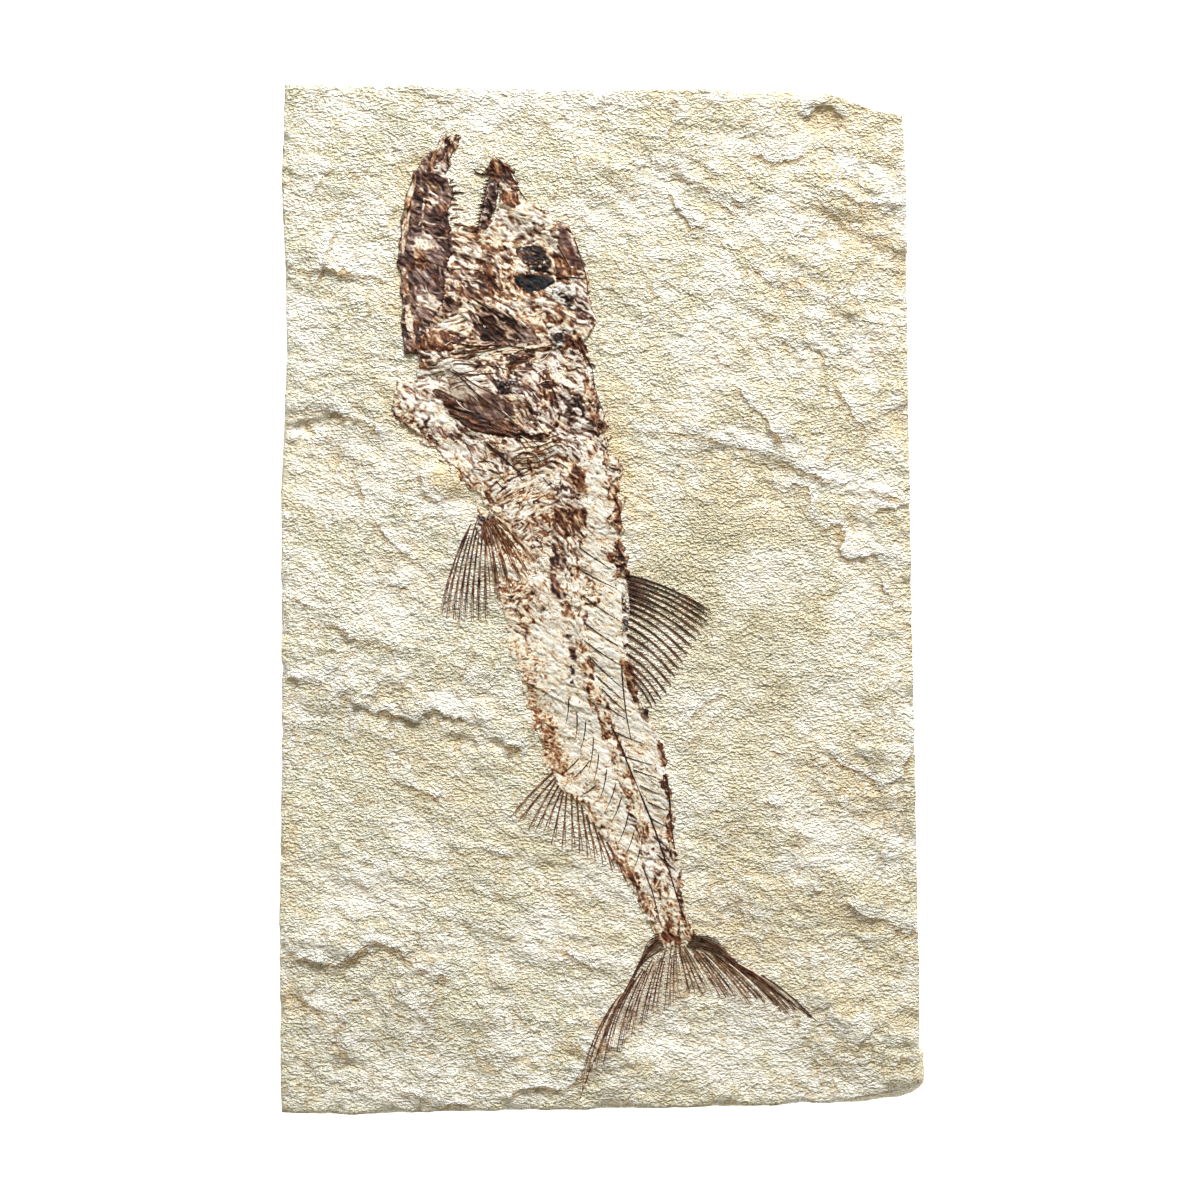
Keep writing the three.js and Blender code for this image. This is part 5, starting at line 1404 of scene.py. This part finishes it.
def smoothLine(points, count):
    # an even run of points through a few given ones
    points = np.array(points, float)
    if len(points) == 2:
        share = np.linspace(0, 1, count)[:, None]
        return points[0] * (1 - share) + points[1] * share
    lengths = np.concatenate([[0], np.cumsum(np.linalg.norm(np.diff(points, axis=0), axis=1))])
    at = np.linspace(0, lengths[-1], count)
    line = np.column_stack([np.interp(at, lengths, points[:, 0]), np.interp(at, lengths, points[:, 1])])
    for _ in range(max(2, count // 8)):
        line[1:-1] = (line[:-2] + 2 * line[1:-1] + line[2:]) / 4
    return line


def bowed(root, tip, bow, count):
    # a line from root to tip that bulges to its left by a share of its length
    root, tip = np.array(root, float), np.array(tip, float)
    share = np.linspace(0, 1, count)[:, None]
    across = np.array([-(tip - root)[1], (tip - root)[0]])
    return root + (tip - root) * share + across * bow * 4 * share * (1 - share)


class Ribbons:
    # gathers many thin strips into one mesh
    def __init__(self):
        self.parts = []

    def add(self, line, width, rise, tone, rust=0.3, mauve=0.3, endWidth=0.2, mottle=0.12, segments=0.0, seed=0, blue=0.0, startWidth=1.0):
        line = np.asarray(line, float)
        count = len(line)
        ahead = np.gradient(line, axis=0)
        ahead /= np.maximum(np.linalg.norm(ahead, axis=1), 1e-9)[:, None]
        across = np.column_stack([-ahead[:, 1], ahead[:, 0]])
        share = np.linspace(0, 1, count)
        half = 0.5 * width * (startWidth + (1 - startWidth) * ease(share / 0.15)) * (1 - (1 - endWidth) * share ** 1.4)
        half *= 1 + 0.18 * softNoise(share * 40 + seed * 7.7, share * 0 + seed * 3.1, 1.6, 811)
        lift = rise * (1 - 0.55 * share ** 2)
        travel = share * count
        toneNow = tone + mottle * roughNoise(travel + seed * 17.3, travel * 0 + seed * 5.9, 3.0, 821, 2)
        if segments:
            toneNow += segments * np.where(softNoise(travel * 1.0 + seed * 9.1, travel * 0 + seed, 1.5, 827) > 0.15, 1.0, 0.0) * ease(share * 2)
        self.parts.append((line, across, half, lift, toneNow, np.full(count, rust), np.full(count, mauve), np.full(count, blue)))

    def build(self, name):
        offsets = np.array([-1.0, -1.0, -0.42, 0.42, 1.0, 1.0])
        ups = np.array([0.0, 0.12, 1.0, 1.0, 0.12, 0.0])
        lines = np.concatenate([p[0] for p in self.parts])
        across = np.concatenate([p[1] for p in self.parts])
        half = np.concatenate([p[2] for p in self.parts])
        lift = np.concatenate([p[3] for p in self.parts])
        x = lines[:, :1] + across[:, :1] * half[:, None] * offsets
        y = lines[:, 1:] + across[:, 1:] * half[:, None] * offsets
        ground = surfaceAt(x.ravel(), y.ravel()).reshape(x.shape)
        ground = ground.mean(axis=1)[:, None] * 0.5 + ground * 0.5
        z = ground + lift[:, None] * ups
        z[:, [0, 5]] = ground[:, [0, 5]] - 0.4
        vertices = np.column_stack([x.ravel(), y.ravel(), z.ravel()])
        faces = []
        start = 0
        for part in self.parts:
            count = len(part[0])
            base = start * 6
            for k in range(count - 1):
                a = base + k * 6
                for e in range(6):
                    f = (e + 1) % 6
                    faces.append((a + e, a + f, a + 6 + f, a + 6 + e))
            faces.append(tuple(base + e for e in range(5, -1, -1)))
            faces.append(tuple(base + (count - 1) * 6 + e for e in range(6)))
            start += count
        values = {key: np.repeat(np.concatenate([p[k] for p in self.parts]), 6) for key, k in (("tone", 4), ("rust", 5), ("mauve", 6), ("blue", 7))}
        # lighter along each strip's raised middle and darker at its low edges: painted highlight and painted shade
        values["tone"] = np.clip(values["tone"] + np.tile([-0.12, -0.06, 0.05, 0.05, -0.06, -0.12], len(lines)), 0, 1)
        piece = makeMesh(name, vertices, faces, values)
        piece.data.set_sharp_from_angle(angle=math.radians(70))
        return piece


def makeDorsal():
    fin = Ribbons()
    rays = [
        ((5.4, 5.3), (23.6, -2.9)), ((5.6, 4.4), (22.8, -3.6)), ((5.8, 3.4), (22.8, -5.0)), ((5.9, 2.5), (21.9, -6.0)),
        ((6.0, 1.4), (21.3, -7.4)), ((6.1, 0.2), (20.3, -8.6)), ((6.2, -1.0), (19.4, -10.2)), ((6.2, -2.3), (18.4, -11.8)),
        ((6.1, -3.8), (17.5, -13.4)), ((5.9, -5.4), (16.6, -14.9)), ((5.7, -7.2), (15.8, -16.4)), ((5.5, -9.2), (15.0, -18.2)),
        ((5.6, -11.2), (14.0, -19.8)), ((6.0, -13.2), (12.8, -20.9)), ((6.4, -14.9), (11.7, -21.9)), ((6.8, -16.6), (10.9, -22.6)),
    ]
    for k, (root, tip) in enumerate(rays):
        dark = 0.04 + 0.01 * k
        line = bowed(root, tip, 0.055, 34)
        fin.add(line[:24], 0.52, 0.32, dark, 0.35, 0.5, 0.5, 0.14, 0.1, k)
        length = np.linalg.norm(line[-1] - line[0])
        for branch, spread in enumerate((-0.045, 0.0, 0.04)):
            fork = line[16 + branch:].copy()
            t = np.linspace(0, 1, len(fork))[:, None]
            across = np.array([-(fork[-1] - fork[0])[1], (fork[-1] - fork[0])[0]]) / length
            fork = fork + across * spread * length * t * (1.0 if branch != 1 else 0.4)
            cut = len(fork) - (3 if branch == 0 else 0) - (1 if branch == 2 else 0)
            fin.add(fork[:cut], 0.26, 0.22, dark + 0.06, 0.4, 0.4, 0.35, 0.16, 0.16, k * 3 + branch)
        if k < 8:
            fin.add(bowed((root[0] + 0.1, root[1] - 0.55), (root[0] + 5.5, root[1] - 3.1), 0.05, 14), 0.4, 0.2, 0.2, 0.3, 0.6, 0.2, 0.1, 0.0, 60 + k)
    return fin.build("dorsal_rays")


def makeAnal():
    fin = Ribbons()
    roots = [(-9.8, -36.1), (-9.3, -37.2), (-9.1, -37.8), (-8.7, -38.9), (-8.1, -39.9), (-7.7, -40.3), (-7.0, -40.3), (-6.0, -40.7), (-4.9, -41.4), (-3.9, -43.1), (-2.8, -45.2), (-1.4, -46.6), (-0.3, -48.7), (1.4, -50.8)]
    tips = [(-18.8, -45.6), (-17.2, -46.6), (-15.0, -48.2), (-13.6, -48.6), (-11.8, -48.6), (-10.2, -51.2), (-8.0, -52.2), (-5.9, -52.6), (-4.3, -53.2), (-2.6, -53.8), (-1.0, -54.6), (0.6, -55.4), (2.6, -57.0), (5.4, -59.0)]
    for k, (root, tip) in enumerate(zip(roots, tips)):
        line = bowed(root, tip, -0.02 + 0.004 * k, 26)
        fin.add(line, 0.48 if k < 3 else 0.42, 0.28, 0.26, 0.7, 0.3, 0.45, 0.1, 0.22, 100 + k)
        fork = line[11:].copy()
        t = np.linspace(0, 1, len(fork))[:, None]
        fork += np.array([0.75, 0.1]) * t
        fin.add(fork[:-1], 0.28, 0.2, 0.26, 0.7, 0.2, 0.4, 0.1, 0.2, 120 + k)
    return fin.build("anal_rays")


def makePectoral():
    fin = Ribbons()
    roots = [(-26.5, 17.0), (-26.2, 17.6), (-25.8, 17.9), (-25.4, 18.1), (-25.0, 18.2), (-24.6, 18.2), (-24.2, 18.1), (-23.8, 18.0), (-23.4, 17.9), (-23.1, 17.7), (-22.8, 17.6), (-22.4, 17.6), (-22.0, 17.6)]
    tips = [(-33.2, -3.2), (-32.2, -3.7), (-30.8, -3.9), (-29.6, -4.3), (-28.4, -4.4), (-27.0, -4.4), (-25.6, -4.2), (-24.0, -3.9), (-21.4, 0.2), (-18.8, 1.4), (-16.4, 3.6), (-15.0, 5.2), (-13.9, 8.3)]
    for k, (root, tip) in enumerate(zip(roots, tips)):
        toRust = max(0.0, (k - 7) / 5)
        line = bowed(root, tip, -0.05 + 0.006 * k, 40)[2 + 3 * (k % 3):]
        fin.add(line, 0.42, 0.28, 0.2 + 0.16 * toRust, 0.35 + 0.6 * toRust, 0.75 - 0.6 * toRust, 0.5, 0.18, 0.26, 200 + k, startWidth=0.5)
        for branch in (-1, 1):
            fork = line[10:].copy()
            t = np.linspace(0, 1, len(fork))[:, None]
            fork += np.array([0.42 * branch, 0.0]) * t
            fin.add(fork[:-2] if branch < 0 else fork, 0.22, 0.2, 0.2 + 0.2 * toRust, 0.4 + 0.5 * toRust, 0.6 - 0.4 * toRust, 0.4, 0.18, 0.3, 230 + k * 2 + branch)
    for k in range(9):
        root = (-22.4 - 0.3 * k, 17.2 - 0.2 * k)
        fin.add(bowed(root, (-15.5 - 0.95 * k, 10.5 - 1.3 * k), 0.03, 22), 0.34, 0.22, 0.3, 0.95, 0.0, 0.4, 0.12, 0.3, 270 + k)
    return fin.build("pectoral_rays")


tailOuter = {
    "left": [(12.2, -71.2), (9.3, -74.1), (7.5, -77.7), (4.7, -83.0), (1.8, -88.6), (-0.5, -94.7), (-2.6, -99.5), (-4.2, -104.6)],
    "right": [(20.2, -70.8), (24.3, -72.4), (28.0, -75.6), (32.9, -79.3), (37.9, -82.8), (42.7, -86.2), (46.3, -88.9)],
}
tailEdge = [(-4.2, -104.6), (-1.6, -101.9), (1.4, -97.7), (4.7, -94.7), (7.5, -92.0), (11.9, -88.4), (14.2, -86.3), (15.6, -84.6), (18.8, -83.4), (21.3, -84.2), (23.6, -83.8), (27.6, -84.4), (29.9, -85.3), (33.7, -85.9), (38.5, -87.4), (43.4, -88.4), (46.3, -88.9)]


def makeTail():
    fin = Ribbons()
    rng = np.random.default_rng(77)
    edge = smoothLine(tailEdge, 400)
    tailLead = {name: smoothLine(points, 100) for name, points in tailOuter.items()}
    rays = 44
    for k in range(rays):
        t = (k + 0.5) / rays
        tip = edge[int(t * 399)]
        root = np.array([12.2 + 7.6 * t, -70.0 - 2.2 * math.sin(math.pi * t)])
        lead = tailLead["left" if t < 0.5 else "right"]
        root += (lead[int(0.42 * 99 * abs(2 * t - 1))] - lead[0]) * abs(2 * t - 1)
        bow = 0.085 * (1 - 2 * t) if t < 0.5 else 0.06 * (1 - 2 * t)
        outer = abs(t - 0.5) * 2
        count = int(20 + 26 * outer)
        line = bowed(root, tip, -bow, count)
        end = int(count * rng.uniform(0.84, 1.0))
        dark = rng.uniform(0.08, 0.32) + 0.06 * (1 - outer)
        if k % 5 == 2:
            dark = rng.uniform(0.74, 0.92)
        mauve = rng.uniform(0.0, 0.4)
        fin.add(line[(0, int(count * 0.2), int(count * 0.1))[k % 3]:end], rng.uniform(0.25, 0.37), 0.26, dark, 0.78, mauve, 0.55, 0.18, 0.2, 300 + k, startWidth=0.6)
        side = np.array([-(tip - root)[1], (tip - root)[0]]) / np.linalg.norm(tip - root)
        begin = int(count * rng.uniform(0.35, 0.6))
        fork = line[begin:end].copy()
        share = np.linspace(0, 1, len(fork))[:, None]
        fork += side * rng.choice([-1, 1]) * share ** 0.8 * rng.uniform(0.3, 0.55)
        fin.add(fork, rng.uniform(0.12, 0.17), 0.2, dark + 0.05, 0.7, mauve, 0.6, 0.16, 0.24, 400 + k, startWidth=0.6)
    for name, inset in (("left", 1.0), ("right", -1.0)):
        path = smoothLine(tailOuter[name], 46)
        for k in range(2):
            shift = np.gradient(path, axis=0)
            shift /= np.linalg.norm(shift, axis=1)[:, None]
            line = path + np.column_stack([-shift[:, 1], shift[:, 0]]) * inset * (0.05 + 0.42 * k) * np.linspace(1, 0.25, 46)[:, None]
            fin.add(line[k: 46 - k * 4], 0.3, 0.28, 0.12 + 0.04 * k, 0.5, 0.5, 0.4, 0.18, 0.2, 500 + k + (10 if inset > 0 else 0))
    # short rays that hook out of the stalk on both sides
    for k in range(7):
        fin.add(bowed((12.4 + 0.22 * k, -70.6 - 0.42 * k), (9.3 - 0.5 * k, -73.4 - 1.5 * k), -0.15, 18), 0.24, 0.24, 0.1 + 0.04 * (k % 3), 0.6, 0.3, 0.4, 0.16, 0.2, 540 + k, startWidth=0.5)
        fin.add(bowed((19.2 - 0.2 * k, -70.7 - 0.36 * k), (24.9 + 0.9 * k, -71.6 - 1.05 * k), 0.09, 18), 0.24, 0.24, 0.08 + 0.04 * (k % 3), 0.5, 0.45, 0.4, 0.16, 0.2, 560 + k, startWidth=0.5)
    return fin.build("tail_rays")


def makeSpines():
    fin = Ribbons()
    # dark spines over the column, towards the back
    upper = [
        ((-2.4, -11.6), (4.5, -18.3)), ((-0.8, -15.8), (4.8, -20.9)), ((0.4, -18.6), (5.2, -23.2)), ((1.2, -22.1), (5.2, -24.8)),
        ((2.6, -27.4), (8.6, -30.0)), ((4.1, -32.4), (11.0, -34.6)), ((7.0, -35.6), (11.8, -37.2)), ((8.4, -38.9), (12.6, -40.8)),
        ((10.0, -42.4), (14.1, -44.2)), ((10.4, -45.6), (14.6, -47.9)), ((11.2, -49.6), (15.2, -52.6)), ((12.0, -53.4), (15.8, -56.6)),
        ((-3.4, -4.6), (3.8, -9.6)), ((-3.6, 1.0), (4.2, -4.4)), ((-4.2, 6.4), (3.6, 2.4)), ((-4.4, 11.2), (2.6, 6.4)), ((-3.4, -8.4), (4.6, -13.8)),
    ]
    for k, (root, tip) in enumerate(upper):
        fin.add(bowed(root, tip, -0.02, 26), 0.26, 0.2, 0.03, 0.15, 0.4, 0.4, 0.08, 0.0, 600 + k, startWidth=0.6)
    # and under it
    lower = [
        ((-4.9, -23.5), (-5.2, -29.4)), ((-3.0, -25.4), (-4.1, -31.5)), ((-1.4, -28.8), (-2.4, -35.7)), ((-0.3, -32.3), (-1.4, -38.2)),
        ((1.4, -35.5), (-0.1, -42.0)), ((3.3, -38.6), (0.9, -44.7)), ((4.5, -41.4), (2.4, -46.6)), ((6.0, -44.7), (4.0, -50.8)),
        ((-6.6, -20.6), (-7.2, -26.0)), ((7.2, -48.4), (5.4, -53.4)), ((8.4, -52.2), (7.2, -56.2)), ((-2.2, -33.8), (-5.6, -37.4)),
        ((-4.4, -33.2), (-8.2, -36.6)), ((-0.8, -38.8), (-4.2, -41.2)),
    ]
    for k, (root, tip) in enumerate(lower):
        fin.add(bowed(root, tip, 0.04, 26), 0.28, 0.2, 0.04, 0.3, 0.35, 0.35, 0.08, 0.0, 640 + k, startWidth=0.6)
    # long thin lines along the body and beside the back
    lines = [
        ([(4.5, -13.7), (5.0, -20.0), (5.6, -24.6), (6.6, -29.6)], 0.34, 0.05), ([(2.4, -26.3), (4.2, -30.4), (4.9, -32.2)], 0.4, 0.08),
        ([(8.1, -39.7), (11.2, -47.3), (13.5, -54.0), (15.2, -59.0), (17.1, -65.3), (18.4, -68.3)], 0.45, 0.08),
        ([(4.2, -30.0), (5.6, -33.8), (8.0, -39.6)], 0.4, 0.06), ([(14.0, -37.0), (14.7, -42.8), (15.0, -48.0), (15.9, -53.5)], 0.5, 0.1),
        ([(8.8, -55.4), (11.2, -61.8), (12.6, -67.6)], 0.3, 0.14), ([(-4.7, 54.8), (-3.6, 52.2), (-1.6, 48.5)], 0.62, 0.02),
        ([(-1.6, 48.6), (-1.2, 45.0), (-0.5, 42.6), (0.8, 39.2)], 0.24, 0.1),
        ([(-32.0, 54.2), (-26.4, 53.2), (-20.6, 53.6), (-14.0, 52.6)], 0.34, 0.1), ([(-31.6, 51.6), (-25.0, 52.0), (-18.6, 53.4)], 0.3, 0.12),
        ([(-32.2, 48.5), (-29.0, 46.6), (-26.6, 43.9), (-23.8, 41.6), (-19.6, 38.8)], 0.3, 0.16), ([(-31.0, 48.4), (-25.6, 44.8), (-20.8, 42.4)], 0.26, 0.12),
        ([(-29.4, 47.2), (-21.6, 47.6)], 0.34, 0.12), ([(-30.6, 49.6), (-22.6, 49.2), (-19.2, 48.2)], 0.3, 0.16),
        ([(-24.3, 33.4), (-21.6, 31.0), (-18.6, 28.2), (-16.2, 26.2)], 0.5, 0.02), ([(-23.6, 32.2), (-19.6, 29.4)], 0.3, 0.08),
        ([(-12.4, 47.2), (-9.6, 43.8), (-8.6, 40.4)], 0.42, 0.06), ([(-9.3, 67.6), (-6.4, 67.8), (-3.0, 67.4)], 0.42, 0.03),
        ([(-9.0, 74.6), (-6.6, 70.4), (-6.0, 69.4)], 0.34, 0.1), ([(-5.4, 76.0), (-3.9, 71.2), (-2.9, 68.0), (-2.5, 64.4)], 0.4, 0.12),
        ([(-27.0, 63.4), (-22.8, 60.8), (-18.4, 57.4), (-15.4, 54.8)], 0.4, 0.05), ([(-26.2, 60.2), (-22.6, 57.6), (-19.4, 54.4)], 0.3, 0.1),
        ([(-24.6, 58.6), (-20.8, 56.0), (-18.6, 53.4)], 0.26, 0.12), ([(-21.9, 92.9), (-19.4, 90.4), (-18.0, 88.0), (-16.9, 86.0), (-15.4, 83.8)], 0.4, 0.12),
    ]
    for k, (points, width, tone) in enumerate(lines):
        fin.add(smoothLine(points, 30), width, 0.22, tone, 0.3, 0.35, 0.4, 0.08, 0.0, 680 + k, startWidth=0.4)
    # the curved rays behind the gill
    for k in range(6):
        y = 33.6 - 1.1 * k
        fin.add(smoothLine([(-8.6 - 0.3 * k, y + 1.2), (-12.6, y - 0.2), (-17.4 - 0.2 * k, y - 0.6)], 26), 0.24, 0.2, 0.22, 0.6, 0.2, 0.4, 0.16, 0.0, 720 + k, startWidth=0.5)
    # pale and dark fibres over the gill plates
    rng = np.random.default_rng(91)
    for k in range(80):
        x, y = rng.uniform(-37, -5), rng.uniform(24, 54)
        if y < 36 and (x < -37 + (36 - y) * 1.15 or x > -2):
            continue
        turn = math.radians(rng.normal(10 if y > 44 else -38, 16))
        length = rng.uniform(1.8, 5.0)
        tip = (x + length * math.cos(turn), y + length * math.sin(turn))
        if tip[0] > -2.5:
            continue
        pale = rng.random() < 0.45
        fin.add(bowed((x, y), tip, rng.uniform(-0.14, 0.14), 16), rng.uniform(0.14, 0.28), 0.2, 0.86 if pale else rng.uniform(0.05, 0.4), 0.0 if pale else rng.uniform(0, 0.9), 0.4, 0.3, 0.08, 0.0, 740 + k, startWidth=0.3)
    return fin.build("fine_spines")


def makeTeeth():
    fin = Ribbons()
    teeth = [
        ((-31.2, 85.5), (-28.4, 85.6), 0.7, 0.06, 0.2), ((-31.0, 84.4), (-30.0, 84.0), 0.4, 0.2, 0.3), ((-31.1, 83.3), (-29.6, 83.0), 0.3, 0.4, 0.8),
        ((-31.0, 82.2), (-28.6, 82.0), 0.38, 0.34, 0.9), ((-31.4, 80.2), (-29.4, 80.5), 0.36, 0.4, 0.9), ((-31.4, 86.8), (-30.0, 87.3), 0.42, 0.14, 0.2),
        ((-30.6, 79.0), (-26.2, 77.6), 0.5, 0.24, 0.8), ((-31.4, 88.0), (-30.6, 88.5), 0.4, 0.12, 0.1),
        ((-22.4, 89.6), (-26.5, 89.8), 0.8, 0.2, 0.1), ((-24.6, 89.3), (-26.6, 90.6), 0.36, 0.14, 0.1), ((-22.2, 90.4), (-24.2, 90.6), 0.4, 0.16, 0.4),
    ]
    for k, (root, tip, width, tone, rust) in enumerate(teeth):
        fin.add(bowed(root, tip, 0.05, 12), width, 0.36, tone, rust, 0.45, 0.06, 0.08, 0.0, 900 + k)
    # the fine saw along the snout's jaw strip
    for k in range(14):
        y = 88.2 - 0.72 * k
        x = -23.7 - 0.15 * k
        reach = 0.45 + 0.2 * ((k * 5) % 3)
        fin.add(bowed((x + 0.3, y), (x - reach, y + 0.1), 0.0, 6), 0.34, 0.26, 0.12, 0.1, 0.7, 0.1, 0.05, 0.0, 930 + k)
    return fin.build("jaw_teeth")


# Bone materials ----------------------------------------------------------------------------

def rampNode(tree, value, stops):
    node = tree.nodes.new("ShaderNodeValToRGB")
    ramp = node.color_ramp
    while len(ramp.elements) < len(stops):
        ramp.elements.new(0.5)
    for element, (at, color) in zip(ramp.elements, stops):
        element.position = at
        element.color = linear(*color)
    tree.links.new(value, node.inputs["Fac"])
    return node.outputs["Color"]


def makeFossilColor():
    # turns the four shades into a colour
    group, start, end = makeGroup(
        "fossilColor",
        [("Tone", "NodeSocketFloat", 0.5), ("Rust", "NodeSocketFloat", 0.0), ("Mauve", "NodeSocketFloat", 0.0), ("Blue", "NodeSocketFloat", 0.0)],
        [("Color", "NodeSocketColor")],
    )
    tone = start.outputs["Tone"]
    brown = rampNode(group, tone, [
        (0.0, (24, 8, 2)), (0.15, (64, 37, 22)), (0.3, (107, 74, 54)), (0.45, (150, 117, 93)), (0.6, (194, 168, 142)), (0.78, (234, 221, 200)), (1.0, (254, 252, 246)),
    ])
    mauve = rampNode(group, tone, [
        (0.0, (27, 12, 13)), (0.2, (75, 49, 48)), (0.4, (124, 95, 92)), (0.6, (178, 154, 150)), (0.8, (227, 213, 207)), (1.0, (253, 250, 247)),
    ])
    rust = rampNode(group, tone, [
        (0.0, (40, 18, 12)), (0.2, (94, 50, 33)), (0.42, (148, 96, 62)), (0.62, (200, 160, 124)), (0.82, (238, 220, 190)), (1.0, (253, 247, 230)),
    ])
    blue = rampNode(group, tone, [
        (0.0, (6, 8, 9)), (0.3, (48, 56, 62)), (0.6, (130, 136, 144)), (1.0, (236, 240, 244)),
    ])
    color = mixColor(group, start.outputs["Mauve"], brown, mauve)
    color = mixColor(group, start.outputs["Rust"], color, rust)
    color = mixColor(group, start.outputs["Blue"], color, blue)
    group.links.new(color, end.inputs["Color"])
    return group


fossilColor = makeFossilColor()


def makeBoneGrain():
    # fine flecks and fibres for the bones
    group, start, end = makeGroup(
        "boneGrain",
        [("Scale", "NodeSocketFloat", 1500.0)],
        [("Value", "NodeSocketFloat"), ("Height", "NodeSocketFloat")],
    )
    place = group.nodes.new("ShaderNodeTexCoord")
    turn = group.nodes.new("ShaderNodeMapping")
    turn.inputs["Rotation"].default_value = (0.0, 0.0, math.radians(38.0))
    group.links.new(place.outputs["Object"], turn.inputs["Vector"])
    squeeze = group.nodes.new("ShaderNodeMapping")
    squeeze.inputs["Scale"].default_value = (0.5, 1.0, 1.0)
    group.links.new(turn.outputs["Vector"], squeeze.inputs["Vector"])
    fine = noiseNode(group, squeeze.outputs["Vector"], start.outputs["Scale"], 2.0, 0.6, 0.4)
    group.links.new(fine, end.inputs["Value"])
    group.links.new(fine, end.inputs["Height"])
    return group


boneGrain = makeBoneGrain()
bones = {
    "spread": 0.55,           # how much the fine grain shifts the tone
    "depth": 0.15,            # how much darker the bones are than their shades
    "bump": 0.00022,
    "roughness": 0.62,
}


def makeBoneMaterial(name, roughness, shine=0.22, spread=bones["spread"]):
    material = bpy.data.materials.new(name)
    material.use_nodes = True
    tree = material.node_tree
    shader = tree.nodes["Principled BSDF"]
    grain = useGroup(tree, boneGrain, Scale=2000.0)
    shift = math2(tree, "MULTIPLY", math2(tree, "SUBTRACT", grain.outputs["Value"], 0.5), spread)
    tone = math2(tree, "ADD", attribute(tree, "tone"), shift, True)
    color = useGroup(tree, fossilColor, Tone=tone, Rust=attribute(tree, "rust"), Mauve=attribute(tree, "mauve"), Blue=attribute(tree, "blue"))
    deeper = mixColor(tree, bones["depth"], color.outputs["Color"], (0.0, 0.0, 0.0, 1.0))
    tree.links.new(deeper, shader.inputs["Base Color"])
    rough = math2(tree, "ADD", math2(tree, "MULTIPLY", tone, 0.3), roughness, True)
    tree.links.new(rough, shader.inputs["Roughness"])
    shader.inputs["Specular IOR Level"].default_value = shine
    bump = tree.nodes.new("ShaderNodeBump")
    bump.inputs["Distance"].default_value = bones["bump"]
    tree.links.new(grain.outputs["Height"], bump.inputs["Height"])
    tree.links.new(bump.outputs["Normal"], shader.inputs["Normal"])
    return material


boneMaterials = {
    "jaw_bone": makeBoneMaterial("jawBone", 0.5),
    "head_bone": makeBoneMaterial("headBone", 0.55),
    "eye_film": makeBoneMaterial("eyeFilm", 0.5, 0.2, 0.25),
    "pale_bone": makeBoneMaterial("paleBone", 0.65),
    "back_bone": makeBoneMaterial("backBone", 0.55),
    "belly_bone": makeBoneMaterial("bellyBone", 0.65),
    "fin_bone": makeBoneMaterial("finBone", 0.6),
}


def settle(piece, slotName, *nodes):
    piece.data.materials.append(boneMaterials[slotName])
    if nodes:
        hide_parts(*nodes)
    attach(piece, "root")


settle(cutPiece("jaw_blade", lowerJaw), "jaw_bone", "lower_jaw")
settle(cutPiece("snout_bone", upperJaw), "jaw_bone", "upper_jaw")
settle(cutPiece("skull_crush", skull), "head_bone", "skull")
settle(cutPiece("gill_crush", gill), "head_bone", "gill_cover")
settle(cutPiece("shoulder_crush", shoulder), "head_bone", "shoulder_girdle")
settle(cutPiece("eye_mineral", eyeFilm), "eye_film", "eye")
settle(cutPiece("body_column", column), "pale_bone", "backbone")
settle(cutPiece("back_row", backRow), "back_bone", "back_scutes")
settle(cutPiece("belly_grains", belly), "belly_bone", "belly_band")
settle(cutPiece("stalk_row", underRow), "belly_bone", "lower_scutes")
print("bone groups cut")
settle(makeDorsal(), "fin_bone", "dorsal_fin")
settle(makeAnal(), "fin_bone", "anal_fin")
settle(makePectoral(), "fin_bone", "pectoral_fin")
settle(makeTail(), "fin_bone", "tail_fin")
settle(makeSpines(), "pale_bone")
settle(makeTeeth(), "jaw_bone")
print("rays and spines laid")
